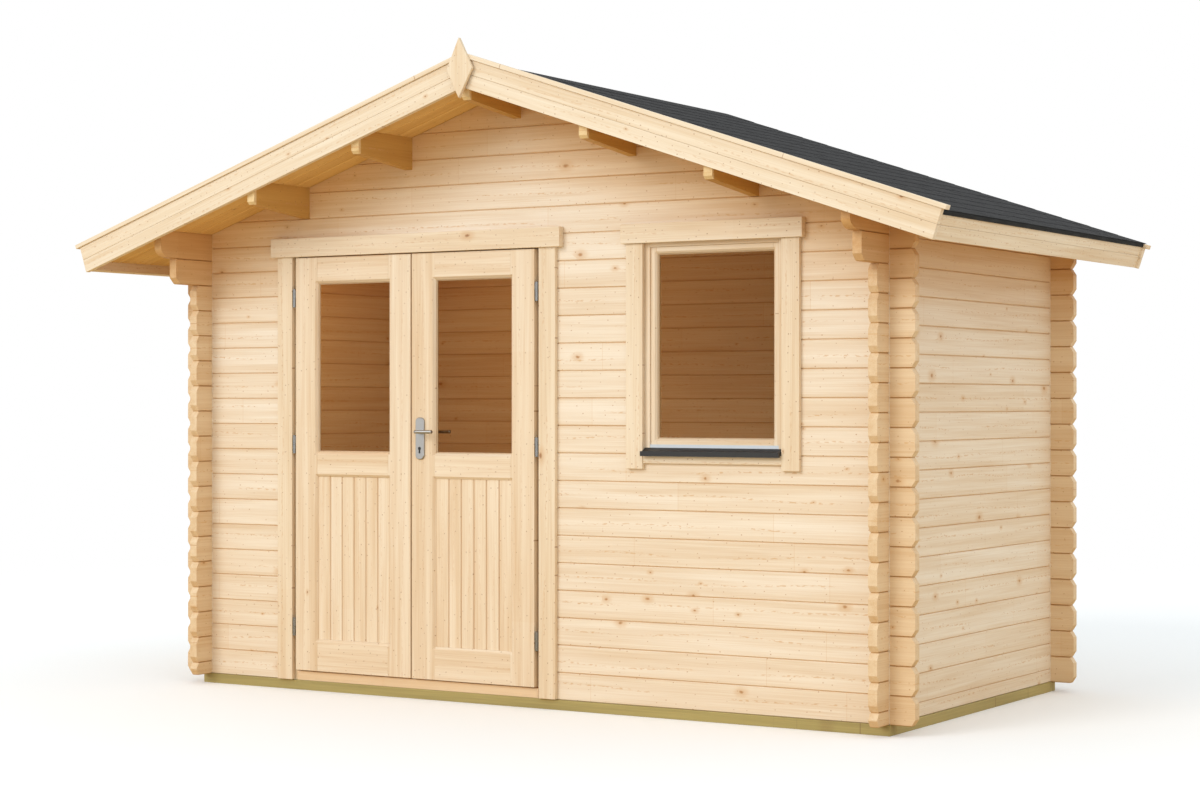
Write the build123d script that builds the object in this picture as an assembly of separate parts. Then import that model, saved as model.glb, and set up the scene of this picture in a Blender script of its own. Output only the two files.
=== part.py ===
from build123d import *

import math
import os

# A garden shed of interlocking logs with a felted gable roof, a double half-glazed door and one window.
# The front faces -Y, left and right are as seen from the front, and the ground is at Z = 0.
# All lengths are in millimetres.

# Log walls, measured between the outer faces
LOG_PITCH = 114.0
LOG_THICKNESS = 38.0
LOG_END = 108.0
LOG_EDGE_RISE = 3.5
LOG_EDGE_DEPTH = 5.0
LOG_SEAM = 0.4
END_BEVEL_RISE = 26.0
END_BEVEL_DEPTH = 17.0
NOTCH_CLEARANCE = 0.3
WALL_WIDTH = 3420.0
WALL_DEPTH = 1720.0
CORBEL_REACH = 245.0
CORBEL_BEVEL = 28.0
SLIVER_SHARE = 0.02

# Foundation and floor
FOUNDATION_HEIGHT = 42.0
FOUNDATION_WIDTH = 60.0
FOUNDATION_OUT = 6.0
JOIST_WIDTH = 45.0
JOISTS = 8
FLOOR_THICKNESS = 19.0
FLOOR_CLEARANCE = 4.0

# Roof
ROOF_PITCH_DEGREES = 18.5
EAVES_LOG_HEIGHT = 108.0
ROOF_FRONT = 380.0
ROOF_BACK = 80.0
ROOF_SLOPE = 2184.0
DECK_THICKNESS = 67.0
FELT_THICKNESS = 6.0
FELT_TURNDOWN = 16.0
ROOF_SEAT = 0.3
RIDGE_SEAM = 0.4
BOARD_SEAM = 0.5
BARGE_THICKNESS = 24.0
BARGE_DROP = 44.0
BARGE_OVER = 4.0
BARGE_UPPER_SHARE = 0.5
CAP_THICKNESS = 18.0
CAP_WIDTH = 36.0
CAP_LIP = 8.0
CAP_OVER = 18.0
FASCIA_THICKNESS = 22.0
FINIAL_HEIGHT = 246.0
FINIAL_WIDTH = 126.0
FINIAL_EDGE = 13.0
FINIAL_DEPTH = 18.0
FINIAL_RISE = 57.0
FINIAL_WAIST_SHARE = 0.49

# Purlins
PURLIN_HEIGHT = 132.0
PURLIN_NOSE_LENGTH = 80.0
PURLIN_NOSE_RISE = 44.0
PURLIN_BEVEL = 12.0
PURLIN_TAPER = 38.0
EAVES_SETBACK = 35.0
PURLIN_END_GAP = 0.3
PURLINS_PER_SLOPE = 2

# Double door
DOOR_CENTRE = -536.0
LEAF_WIDTH = 630.0
LEAF_HEIGHT = 1830.0
LEAF_THICKNESS = 40.0
LEAF_PROUD = 20.0
LEAF_BOTTOM = 89.0
LEAF_GAP = 8.0
LEAF_CLEARANCE = 6.0
STILE_WIDTH = 120.0
TOP_RAIL = 115.0
MID_RAIL = 110.0
BOTTOM_RAIL = 141.0
MID_RAIL_TOP = 971.0
RAIL_SEAM = 0.3
PANEL_THICKNESS = 16.0
PANEL_BOARDS = 6
PANEL_GROOVE = 4.0
PANEL_GROOVE_DEPTH = 6.0
GLASS_THICKNESS = 4.0
GLASS_CLEARANCE = 0.3
LEAF_BEVEL = 11.0
JAMB_THICKNESS = 28.0
JAMB_SETBACK = 5.0
FRAME_DEPTH = 53.0
HEAD_THICKNESS = 22.0
OPENING_CLEARANCE = 2.0
STOP_OVERLAP = 12.0
CASING_WIDTH = 83.0
CASING_THICKNESS = 20.0
CASING_GAP = 21.0
CASING_LIFT = 2.0
HEADER_HEIGHT = 83.0
HEADER_THICKNESS = 34.0
HEADER_OVER = 29.0
HEADER_GAP = 5.0

# Barrel hinges
HINGE_RADIUS = 7.0
HINGE_LENGTH = 80.0
HINGE_SPLIT = 1.0
HINGE_AXIS_BACK = 4.0
HINGE_AXIS_OUT = 10.5
HINGE_PIN_RADIUS = 3.5
HINGE_PIN_CLEARANCE = 0.06
HINGE_LEAF_THICKNESS = 3.0
HINGE_LEAF_HEIGHT = 32.0
HINGE_SEAT = 0.3
HINGE_HEIGHT_SHARES = (0.105, 0.548, 0.903)

# Lever handle
PLATE_WIDTH = 45.0
PLATE_HEIGHT = 180.0
PLATE_THICKNESS = 8.0
PLATE_EDGE = 2.5
PLATE_ROUND = 18.0
PLATE_SEAT = 0.2
LEVER_HEIGHT = 1063.0
LEVER_BACKSET = 46.0
LEVER_TOP_SHARE = 0.34
LEVER_REACH = 94.0
LEVER_STANDOFF = 40.0
LEVER_RADIUS = 8.0
LEVER_BEND = 14.0
LEVER_TIP = 2.5
COLLAR_CLEARANCE = 0.5
SPINDLE_RADIUS = 5.0
SPINDLE_CLEARANCE = 0.5
KEYHOLE_DROP = 72.0
KEYHOLE_RADIUS = 5.0
KEYHOLE_SLOT = 15.0
KEYHOLE_SLOT_WIDTH = 5.0

# Window
WINDOW_CENTRE = 939.0
WINDOW_WIDTH = 632.0
WINDOW_HEIGHT = 869.0
WINDOW_HEAD_COVER = 13.0
WINDOW_COVER = 6.0
WINDOW_HEADER_HEIGHT = 79.0
WINDOW_HEADER_OVER = 19.0
WINDOW_CASING_WIDTH = 79.0
WINDOW_CASING_DROP = 60.0
WINDOW_FRAME_WIDTH = 26.0
WINDOW_FRAME_DEPTH = 50.0
WINDOW_FRAME_SETBACK = 2.0
SASH_WIDTH = 27.0
SASH_BOTTOM_RAIL = 36.0
SASH_THICKNESS = 36.0
SASH_SETBACK = 10.0
SASH_BEVEL = 9.0
APRON_HEIGHT = 37.0
APRON_THICKNESS = 16.0
SILL_REACH = 42.0
SILL_BAR_HEIGHT = 20.0
SILL_BAR_DEPTH = 14.0
SILL_LEAF = 6.0
SILL_FALL = 14.0
SILL_END_GAP = 1.0
DRIP_HEIGHT = 13.0
DRIP_DEPTH = 6.0

# Derived places
FRONT_REACH = ROOF_FRONT + BARGE_THICKNESS + CAP_LIP + FINIAL_DEPTH
BACK_REACH = ROOF_BACK + BARGE_THICKNESS + CAP_LIP
WALL_Y = (FRONT_REACH - BACK_REACH) / 2
FRONT_Y = WALL_Y - WALL_DEPTH / 2
BACK_Y = WALL_Y + WALL_DEPTH / 2
SIDE_X = WALL_WIDTH / 2
WALL_BASE = FOUNDATION_HEIGHT
LEAF_TOP = LEAF_BOTTOM + LEAF_HEIGHT
HEAD_BOTTOM = LEAF_TOP + LEAF_CLEARANCE
HEADER_BOTTOM = LEAF_TOP + HEADER_GAP
OPENING_TOP = HEAD_BOTTOM + HEAD_THICKNESS + OPENING_CLEARANCE
SIDE_LOGS = round((OPENING_TOP - WALL_BASE) / LOG_PITCH - 0.5)
WALL_TOP = WALL_BASE + (SIDE_LOGS + 0.5) * LOG_PITCH
PITCH = math.radians(ROOF_PITCH_DEGREES)
APEX = WALL_TOP + EAVES_LOG_HEIGHT + SIDE_X * math.tan(PITCH)
BARGE_TOP = DECK_THICKNESS + FELT_THICKNESS
CAP_TOP = BARGE_TOP + BOARD_SEAM + CAP_THICKNESS
BARGE_FRONT_Y = FRONT_Y - ROOF_FRONT - BARGE_THICKNESS
BARGE_BACK_Y = BACK_Y + ROOF_BACK + BARGE_THICKNESS
DOOR_HALF = LEAF_GAP / 2 + LEAF_WIDTH
JAMB_HALF = DOOR_HALF + LEAF_CLEARANCE
OPENING_HALF = JAMB_HALF + JAMB_THICKNESS + OPENING_CLEARANCE
LEAF_FRONT_Y = FRONT_Y - LEAF_PROUD
LEAF_BACK_Y = LEAF_FRONT_Y + LEAF_THICKNESS
LEAF_MIDDLE_Y = LEAF_FRONT_Y + LEAF_THICKNESS / 2
LEVER_Z = LEAF_BOTTOM + LEVER_HEIGHT
FRAME_FRONT_Y = FRONT_Y + JAMB_SETBACK
FRAME_BACK_Y = FRAME_FRONT_Y + FRAME_DEPTH
HINGE_Y = LEAF_FRONT_Y + HINGE_AXIS_BACK
WINDOW_HALF = WINDOW_WIDTH / 2
WINDOW_OPENING_HALF = WINDOW_HALF + WINDOW_COVER
WINDOW_HEAD = HEADER_BOTTOM + WINDOW_HEAD_COVER
WINDOW_SILL = WINDOW_HEAD - WINDOW_HEIGHT
WINDOW_CASING_BOTTOM = WINDOW_SILL - WINDOW_CASING_DROP
OVERRUN = LOG_END

nodes: dict[str, list] = {}


def add(name, *shapes):
    """Add the solids of each shape to a named piece."""
    nodes.setdefault(name, []).extend(solid for shape in shapes for solid in shape.solids())


def box(x_low, x_high, y_low, y_high, z_low, z_high):
    """A box between two corners."""
    middle = Pos((x_low + x_high) / 2, (y_low + y_high) / 2, (z_low + z_high) / 2)
    return middle * Box(x_high - x_low, y_high - y_low, z_high - z_low)


def rectangle(low, high, bottom, top):
    """A flat rectangle between two corners."""
    return Pos((low + high) / 2, (bottom + top) / 2) * Rectangle(high - low, top - bottom)


def outline(*points):
    """A flat face with straight edges, at its own coordinates."""
    return Polygon(*points, align=None)


def soffit(x):
    """Height of the roof deck's underside at a place across the shed."""
    return APEX - abs(x) * math.tan(PITCH)


# Logs are made along X, centred on Y = 0, at their real height, and then moved into their wall.

def log_section(bottom, top):
    """Upright section of a log with its four long edges bevelled."""
    half = LOG_THICKNESS / 2
    neck = half - LOG_EDGE_DEPTH
    low = bottom + LOG_EDGE_RISE
    high = top - LOG_EDGE_RISE
    right = [(neck, bottom), (half, low), (half, high), (neck, top)]
    left = [(-y, z) for y, z in reversed(right)]
    return outline(*right, *left)


def log_outline(low, high, bottom, top, corbel=False):
    """Side view of a log whose ends are bevelled above and below, or a corbel bevelled below in front."""
    rise = min(END_BEVEL_RISE, (top - bottom) / 2)
    back = [(high - END_BEVEL_DEPTH, bottom), (high, bottom + rise), (high, top - rise),
            (high - END_BEVEL_DEPTH, top)]
    if corbel:
        front = [(low, top), (low, bottom + CORBEL_BEVEL), (low + CORBEL_BEVEL, bottom)]
    else:
        front = [(low + END_BEVEL_DEPTH, top), (low, top - rise), (low, bottom + rise),
                 (low + END_BEVEL_DEPTH, bottom)]
    return outline(*back, *front)


def cut_log(face, bottom, top):
    """A log from its side view: as thick as the wall, with bevelled long edges."""
    slab = extrude(Plane.XZ * face, amount=LOG_THICKNESS / 2, both=True)
    span = face.bounding_box()
    start = Plane.YZ.offset(span.min.X - OVERRUN)
    bevelled = extrude(start * log_section(bottom, top), amount=span.size.X + 2 * OVERRUN)
    return (slab & bevelled).solids()


def corner_notches(centres, bottom, top, below=True):
    """Cuts where the logs of the crossing walls pass, a quarter of a log deep above and below."""
    reach = LOG_THICKNESS / 2 + NOTCH_CLEARANCE
    depth = LOG_PITCH / 4 + NOTCH_CLEARANCE / 2
    cuts = []
    for centre in centres:
        cuts.append(rectangle(centre - reach, centre + reach, top - depth, top + OVERRUN))
        if below:
            cuts.append(rectangle(centre - reach, centre + reach, bottom - OVERRUN, bottom + depth))
    return cuts


def purlin_places():
    """Centre and underside of each purlin: the ridge, those on the slopes and those on the side walls."""
    top_x = SIDE_X - LOG_THICKNESS / 2
    places = {"ridge_purlin": (0.0, APEX - PURLIN_HEIGHT)}
    for step in range(1, PURLINS_PER_SLOPE + 1):
        x = top_x * step / (PURLINS_PER_SLOPE + 1)
        row = "upper" if step == 1 else "lower"
        places[f"{row}_purlin_left"] = (-x, soffit(x) - PURLIN_HEIGHT)
        places[f"{row}_purlin_right"] = (x, soffit(x) - PURLIN_HEIGHT)
    places["left_wall"] = (-top_x, WALL_TOP)
    places["right_wall"] = (top_x, WALL_TOP)
    return places


def side_wall(name, x):
    """A side wall: a half log at the bottom, full logs, and the top one reaching forward as a corbel."""
    crossings = (FRONT_Y + LOG_THICKNESS / 2, BACK_Y - LOG_THICKNESS / 2)
    place = Pos(x, 0, 0) * Rot(0, 0, 90)
    for step in range(SIDE_LOGS + 1):
        bottom = WALL_BASE + max(0, step - 0.5) * LOG_PITCH
        top = WALL_BASE + (step + 0.5) * LOG_PITCH - LOG_SEAM
        corbel = step == SIDE_LOGS
        low = FRONT_Y - (CORBEL_REACH if corbel else LOG_END)
        face = log_outline(low, BACK_Y + LOG_END, bottom, top, corbel)
        for cut in corner_notches(crossings, bottom, top + LOG_SEAM, below=step > 0):
            face -= cut
        for solid in cut_log(face, bottom, top):
            add(name, place * solid)


def gable_logs(openings):
    """Logs of a front or back wall up to the ridge, as one list of solids for each log."""
    corner_x = SIDE_X - LOG_THICKNESS / 2
    inner_x = SIDE_X - LOG_THICKNESS - NOTCH_CLEARANCE
    under_roof = outline((0, APEX - ROOF_SEAT), (-SIDE_X - OVERRUN, soffit(SIDE_X + OVERRUN) - ROOF_SEAT),
                         (-SIDE_X - OVERRUN, WALL_BASE), (SIDE_X + OVERRUN, WALL_BASE),
                         (SIDE_X + OVERRUN, soffit(SIDE_X + OVERRUN) - ROOF_SEAT))
    reach = LOG_THICKNESS / 2 + NOTCH_CLEARANCE
    purlin_cuts = [rectangle(x - reach, x + reach, bottom - NOTCH_CLEARANCE, APEX + OVERRUN)
                   for x, bottom in purlin_places().values() if bottom > WALL_TOP]
    count = int((APEX - WALL_BASE) / LOG_PITCH)
    rows = []
    for step in range(count):
        bottom = WALL_BASE + step * LOG_PITCH
        top = APEX if step == count - 1 else bottom + LOG_PITCH - LOG_SEAM
        if step <= SIDE_LOGS:
            face = log_outline(-SIDE_X - LOG_END, SIDE_X + LOG_END, bottom, top)
            for cut in corner_notches((-corner_x, corner_x), bottom, top + LOG_SEAM):
                face -= cut
        else:
            face = rectangle(-inner_x, inner_x, bottom, top) & under_roof
            for cut in purlin_cuts:
                face -= cut
        for opening in openings:
            face -= opening
        solids = cut_log(face, bottom, top)
        whole = sum(solid.volume for solid in solids)
        rows.append([solid for solid in solids if solid.volume > SLIVER_SHARE * whole])
    return rows


def back_wall():
    """The closed back wall, with its gable above the side walls."""
    place = Pos(0, BACK_Y - LOG_THICKNESS / 2, 0)
    for solids in gable_logs([]):
        add("back_wall", *(place * solid for solid in solids))


def front_wall():
    """The front wall, cut through for the door and the window and split beside and over them."""
    door = rectangle(DOOR_CENTRE - OPENING_HALF, DOOR_CENTRE + OPENING_HALF, WALL_BASE - OVERRUN,
                     OPENING_TOP)
    window = rectangle(WINDOW_CENTRE - WINDOW_OPENING_HALF, WINDOW_CENTRE + WINDOW_OPENING_HALF,
                       WINDOW_SILL, WINDOW_HEAD)
    place = Pos(0, FRONT_Y + LOG_THICKNESS / 2, 0)
    for solids in gable_logs([door, window]):
        for solid in solids:
            span = solid.bounding_box()
            if span.max.Z > OPENING_TOP:
                name = "front_gable"
            elif span.max.X < DOOR_CENTRE:
                name = "front_wall_left"
            elif span.min.X > WINDOW_CENTRE:
                name = "front_wall_right"
            elif span.max.X < WINDOW_CENTRE:
                name = "front_wall_middle"
            else:
                name = "front_wall_below_window"
            add(name, place * solid)


def foundation():
    """Beams under the walls with joists between them, and the floor that they carry."""
    out_x = SIDE_X + FOUNDATION_OUT
    in_x = out_x - FOUNDATION_WIDTH
    front = FRONT_Y - FOUNDATION_OUT
    back = BACK_Y + FOUNDATION_OUT
    inner_front = front + FOUNDATION_WIDTH
    inner_back = back - FOUNDATION_WIDTH
    rows = [(-out_x, out_x, front, inner_front), (-out_x, out_x, inner_back, back)]
    bearers = [(-out_x, -in_x), (in_x, out_x)]
    pace = 2 * in_x / (JOISTS + 1)
    for step in range(1, JOISTS + 1):
        x = -in_x + step * pace
        bearers.append((x - JOIST_WIDTH / 2, x + JOIST_WIDTH / 2))
    rows += [(low, high, inner_front + RAIL_SEAM, inner_back - RAIL_SEAM) for low, high in bearers]
    for row in rows:
        add("foundation_beams", box(*row, 0, FOUNDATION_HEIGHT))
    floor_x = SIDE_X - LOG_THICKNESS - FLOOR_CLEARANCE
    floor_back = BACK_Y - LOG_THICKNESS - FLOOR_CLEARANCE
    floor_top = FOUNDATION_HEIGHT + FLOOR_THICKNESS
    add("floor_boards", box(-floor_x, floor_x, FRAME_BACK_Y + FLOOR_CLEARANCE, floor_back,
                            FOUNDATION_HEIGHT, floor_top))


def purlins():
    """Beams along the shed that carry the roof: tops cut to its slope, and noses tapered below."""
    barge = FRONT_Y - ROOF_FRONT + PURLIN_END_GAP
    back = BACK_Y + ROOF_BACK - PURLIN_END_GAP
    half = LOG_THICKNESS / 2
    for name, (x, bottom) in purlin_places().items():
        tops = [(x + half, soffit(x + half) - ROOF_SEAT), (x - half, soffit(x - half) - ROOF_SEAT)]
        if x == 0:
            tops.insert(1, (0, APEX - ROOF_SEAT))
        section = outline((x - half, bottom), (x + half, bottom), *tops)
        front = barge + EAVES_SETBACK if bottom == WALL_TOP else barge
        beam = extrude(Plane.XZ.offset(-front) * section, amount=front - back)
        side = rectangle(front, back, bottom, APEX)
        if bottom == WALL_TOP:
            corner = rectangle(front, front + PURLIN_NOSE_LENGTH, bottom, bottom + PURLIN_NOSE_RISE)
            centre = Pos(front + PURLIN_NOSE_LENGTH, bottom + PURLIN_NOSE_RISE)
            side -= corner - centre * Ellipse(PURLIN_NOSE_LENGTH, PURLIN_NOSE_RISE)
            crossings = (FRONT_Y + half, BACK_Y - half)
            for cut in corner_notches(crossings, bottom, APEX + LOG_PITCH):
                side -= cut
        else:
            tip = bottom + PURLIN_TAPER
            side -= outline((front, bottom), (FRONT_Y, bottom), (front + PURLIN_BEVEL, tip),
                            (front, tip + PURLIN_BEVEL))
        shape = extrude(Plane.YZ.offset(x) * side, amount=LOG_THICKNESS, both=True)
        add(name, beam & shape)


def ridge_cut(height):
    """Distance down the slope at which a height above the soffit meets the ridge's upright plane."""
    return (RIDGE_SEAM / 2 - height * math.sin(PITCH)) / math.cos(PITCH)


def slope_piece(points, front, back):
    """A roof piece on the right slope, from points (down the slope, above the soffit) and its ends in Y."""
    plane = Plane(origin=(0, front, APEX), x_dir=(math.cos(PITCH), 0, -math.sin(PITCH)), z_dir=(0, -1, 0))
    return extrude(plane * outline(*points), amount=front - back)


def slope_strip(low, high, end, front, back):
    """A roof layer between two heights above the soffit, from the ridge to a distance down the slope."""
    points = [(ridge_cut(low), low), (end, low), (end, high), (ridge_cut(high), high)]
    return slope_piece(points, front, back)


def add_both(name, shape):
    """Add a right-hand roof piece and its mirror image on the left."""
    add(f"{name}_right", shape)
    add(f"{name}_left", mirror(shape, about=Plane.YZ))


def roof():
    """Deck, felt, eaves boards, and the barge boards with their caps, the back ones under the felt."""
    front = FRONT_Y - ROOF_FRONT
    back = BACK_Y + ROOF_BACK
    deck_end = ROOF_SLOPE - FASCIA_THICKNESS
    add_both("roof_deck", slope_strip(0, DECK_THICKNESS, deck_end, front, back))
    felt_end = ROOF_SLOPE + FELT_THICKNESS
    turned = DECK_THICKNESS - FELT_TURNDOWN
    felt = [(ridge_cut(DECK_THICKNESS), DECK_THICKNESS), (ROOF_SLOPE, DECK_THICKNESS), (ROOF_SLOPE, turned),
            (felt_end, turned), (felt_end, BARGE_TOP), (ridge_cut(BARGE_TOP), BARGE_TOP)]
    add_both("roof_felt", slope_piece(felt, front, back))
    fascia_split = BARGE_UPPER_SHARE * (DECK_THICKNESS + BARGE_DROP) - BARGE_DROP
    for low, high in ((-BARGE_DROP, fascia_split - BOARD_SEAM), (fascia_split, DECK_THICKNESS)):
        points = [(deck_end, low), (ROOF_SLOPE, low), (ROOF_SLOPE, high), (deck_end, high)]
        add_both("eaves_board", slope_piece(points, front, back))
    barge_end = ROOF_SLOPE + FELT_THICKNESS + BARGE_OVER
    cap_end = barge_end + CAP_OVER
    front_cap = BARGE_FRONT_Y - CAP_LIP
    back_cap = BARGE_BACK_Y + CAP_LIP
    cap_low = DECK_THICKNESS - CAP_THICKNESS
    for end, outer, inner, top in (("front", BARGE_FRONT_Y, front, BARGE_TOP),
                                   ("back", back, BARGE_BACK_Y, cap_low - BOARD_SEAM)):
        split = BARGE_UPPER_SHARE * (top + BARGE_DROP) - BARGE_DROP
        for low, high in ((-BARGE_DROP, split - BOARD_SEAM), (split, top)):
            add_both(f"{end}_barge", slope_strip(low, high, barge_end, outer, inner))
    add_both("front_barge", slope_strip(BARGE_TOP + BOARD_SEAM, CAP_TOP, cap_end, front_cap,
                                        front_cap + CAP_WIDTH))
    add_both("back_barge", slope_strip(cap_low, DECK_THICKNESS, cap_end, back, back_cap))
    add_both("roof_felt", slope_strip(DECK_THICKNESS, BARGE_TOP, felt_end, back + BOARD_SEAM, back_cap))


def finial():
    """Diamond on the front gable's peak, with its face folded along the upright middle line."""
    ridge_top = APEX + CAP_TOP / math.cos(PITCH)
    top = ridge_top + FINIAL_RISE
    bottom = top - FINIAL_HEIGHT
    waist = bottom + FINIAL_WAIST_SHARE * FINIAL_HEIGHT
    half = FINIAL_WIDTH / 2
    back = BARGE_FRONT_Y - CAP_LIP
    diamond = outline((0, bottom), (half, waist), (0, top), (-half, waist))
    prism = extrude(Plane.XZ.offset(-back) * diamond, amount=FINIAL_DEPTH)
    fold = outline((half, back), (-half, back), (-half, back - FINIAL_EDGE), (0, back - FINIAL_DEPTH),
                   (half, back - FINIAL_EDGE))
    add("gable_finial", prism & extrude(Plane.XY.offset(bottom) * fold, amount=FINIAL_HEIGHT))


def door_frame():
    """Jambs, head, threshold and stops lining the doorway, with the casing and header boards outside."""
    head_top = HEAD_BOTTOM + HEAD_THICKNESS
    sill_top = LEAF_BOTTOM - LEAF_CLEARANCE
    stop_y = LEAF_BACK_Y + LEAF_CLEARANCE
    stop_in = DOOR_HALF - STOP_OVERLAP
    stop_top = HEAD_BOTTOM - RAIL_SEAM
    casing_in = DOOR_HALF + CASING_GAP
    casing_out = casing_in + CASING_WIDTH
    for side, sign in (("left", -1), ("right", 1)):
        low, high = sorted(DOOR_CENTRE + sign * edge for edge in (JAMB_HALF, JAMB_HALF + JAMB_THICKNESS))
        add(f"door_jamb_{side}", box(low, high, FRAME_FRONT_Y, FRAME_BACK_Y, WALL_BASE, head_top))
        low, high = sorted(DOOR_CENTRE + sign * edge for edge in (stop_in, JAMB_HALF - RAIL_SEAM))
        add(f"door_jamb_{side}", box(low, high, stop_y, FRAME_BACK_Y, sill_top + RAIL_SEAM, stop_top))
        low, high = sorted(DOOR_CENTRE + sign * edge for edge in (casing_in, casing_out))
        add(f"door_casing_{side}", box(low, high, FRONT_Y - CASING_THICKNESS, FRONT_Y,
                                       WALL_BASE + CASING_LIFT, HEADER_BOTTOM))
    left = DOOR_CENTRE - JAMB_HALF
    right = DOOR_CENTRE + JAMB_HALF
    add("door_head", box(left, right, FRAME_FRONT_Y, FRAME_BACK_Y, HEAD_BOTTOM, head_top))
    head_in = stop_in - RAIL_SEAM
    add("door_head", box(DOOR_CENTRE - head_in, DOOR_CENTRE + head_in, stop_y, FRAME_BACK_Y,
                         LEAF_TOP - STOP_OVERLAP, stop_top))
    add("door_threshold", box(left, right, FRONT_Y, FRAME_BACK_Y, WALL_BASE, sill_top))
    reach = casing_out + HEADER_OVER
    add("door_header", box(DOOR_CENTRE - reach, DOOR_CENTRE + reach, FRONT_Y - HEADER_THICKNESS, FRONT_Y,
                           HEADER_BOTTOM, HEADER_BOTTOM + HEADER_HEIGHT))


def sticking_bevel(low, high, bottom, top, y, bevel, inward):
    """The tapered cut that bevels a frame's inner edges on one face, from that face's Y."""
    plane = Plane.XZ.offset(-y)
    wide = rectangle(low - bevel, high + bevel, bottom - bevel, top + bevel)
    narrow = rectangle(low, high, bottom, top)
    return loft([plane * wide, plane.offset(-inward * bevel) * narrow])


def door_leaf(name, low, spindle_x=None):
    """One leaf from its lower X: stiles and rails, a boarded panel below and a pane above."""
    inner_low = low + STILE_WIDTH
    inner_high = low + LEAF_WIDTH - STILE_WIDTH
    mid_top = LEAF_BOTTOM + MID_RAIL_TOP
    mid_bottom = mid_top - MID_RAIL
    bottom_top = LEAF_BOTTOM + BOTTOM_RAIL
    glass_top = LEAF_TOP - TOP_RAIL
    bars = [box(start, start + STILE_WIDTH, LEAF_FRONT_Y, LEAF_BACK_Y, LEAF_BOTTOM, LEAF_TOP)
            for start in (low, inner_high)]
    for bottom, top in ((LEAF_BOTTOM, bottom_top), (mid_bottom, mid_top), (glass_top, LEAF_TOP)):
        bars.append(box(inner_low + RAIL_SEAM, inner_high - RAIL_SEAM, LEAF_FRONT_Y, LEAF_BACK_Y,
                        bottom, top))
    cuts = [sticking_bevel(inner_low, inner_high, bottom, top, y, LEAF_BEVEL, inward)
            for bottom, top in ((bottom_top, mid_bottom), (mid_top, glass_top))
            for y, inward in ((LEAF_FRONT_Y, 1), (LEAF_BACK_Y, -1))]
    if spindle_x is not None:
        hole = Cylinder(SPINDLE_RADIUS + SPINDLE_CLEARANCE, LEAF_THICKNESS + OVERRUN, rotation=(90, 0, 0))
        cuts.append(Pos(spindle_x, LEAF_MIDDLE_Y, LEVER_Z) * hole)
    for bar in bars:
        for cut in cuts:
            bar -= cut
        add(f"{name}_frame", bar)
    add(f"{name}_panel", boarded_panel(inner_low, inner_high, bottom_top, mid_bottom))
    pane = GLASS_THICKNESS / 2
    add(f"{name}_glass", box(inner_low + GLASS_CLEARANCE, inner_high - GLASS_CLEARANCE, LEAF_MIDDLE_Y - pane,
                             LEAF_MIDDLE_Y + pane, mid_top + GLASS_CLEARANCE, glass_top - GLASS_CLEARANCE))


def boarded_panel(low, high, bottom, top):
    """A panel with upright V grooves between its boards on both faces."""
    half = PANEL_THICKNESS / 2
    start = low + RAIL_SEAM
    end = high - RAIL_SEAM
    pace = (end - start) / PANEL_BOARDS
    face = [(start, -half)]
    for step in range(1, PANEL_BOARDS):
        x = start + step * pace
        face += [(x - PANEL_GROOVE, -half), (x, PANEL_GROOVE_DEPTH - half), (x + PANEL_GROOVE, -half)]
    face.append((end, -half))
    back = [(x, -depth) for x, depth in reversed(face)]
    profile = outline(*((x, LEAF_MIDDLE_Y + depth) for x, depth in face + back))
    base = Plane.XY.offset(bottom + RAIL_SEAM)
    return extrude(base * profile, amount=top - bottom - 2 * RAIL_SEAM)


def barrel(radius, low, high):
    """An upright round bar on the hinge axis between two heights."""
    return Pos(0, 0, (low + high) / 2) * Cylinder(radius, high - low)


def hinges(leaf, sign):
    """Three lift-off hinges with flat leaves: barrels with pins on the jamb, bored ones on the door."""
    axis_x = DOOR_CENTRE + sign * (DOOR_HALF + HINGE_AXIS_OUT)
    half = HINGE_LENGTH / 2
    quarter = half / 2
    split = HINGE_SPLIT / 2
    pin_top = half - HINGE_RADIUS
    reach = HINGE_LEAF_HEIGHT / 2
    thin = HINGE_LEAF_THICKNESS / 2
    jamb_y = FRAME_FRONT_Y - HINGE_SEAT - HINGE_Y
    leaf_x = sorted((0, -sign * (HINGE_AXIS_OUT - HINGE_SEAT)))
    for share in HINGE_HEIGHT_SHARES:
        place = Pos(axis_x, HINGE_Y, LEAF_BOTTOM + share * LEAF_HEIGHT)
        pin = barrel(HINGE_RADIUS, -half, -split) + barrel(HINGE_PIN_RADIUS, -quarter, pin_top)
        pin += box(-thin, thin, 0, jamb_y, -quarter - reach, -quarter + reach)
        add("hinge_pins", place * pin)
        sleeve = barrel(HINGE_RADIUS, split, half)
        sleeve += box(*leaf_x, -thin, thin, quarter - reach, quarter + reach)
        sleeve -= barrel(HINGE_PIN_RADIUS + HINGE_PIN_CLEARANCE, -half, pin_top + HINGE_SPLIT)
        add(f"{leaf}_hinges", place * sleeve)


def lever_side(sign):
    """One lever from the leaf's middle outwards along Y, bent towards +X. The sign is -1 for the outside."""
    knee = LEAF_THICKNESS / 2 + PLATE_SEAT + PLATE_THICKNESS + LEVER_STANDOFF
    root = LEAF_THICKNESS / 2 + PLATE_SEAT + PLATE_THICKNESS + COLLAR_CLEARANCE
    path = FilletPolyline((0, sign * root, 0), (0, sign * knee, 0), (LEVER_REACH, sign * knee, 0),
                          radius=LEVER_BEND)
    section = Plane(origin=path @ 0, x_dir=(1, 0, 0), z_dir=path % 0) * Circle(LEVER_RADIUS)
    lever = sweep(section, path)
    return chamfer(lever.faces().sort_by(Axis.X)[-1].edges(), LEVER_TIP)


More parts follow.
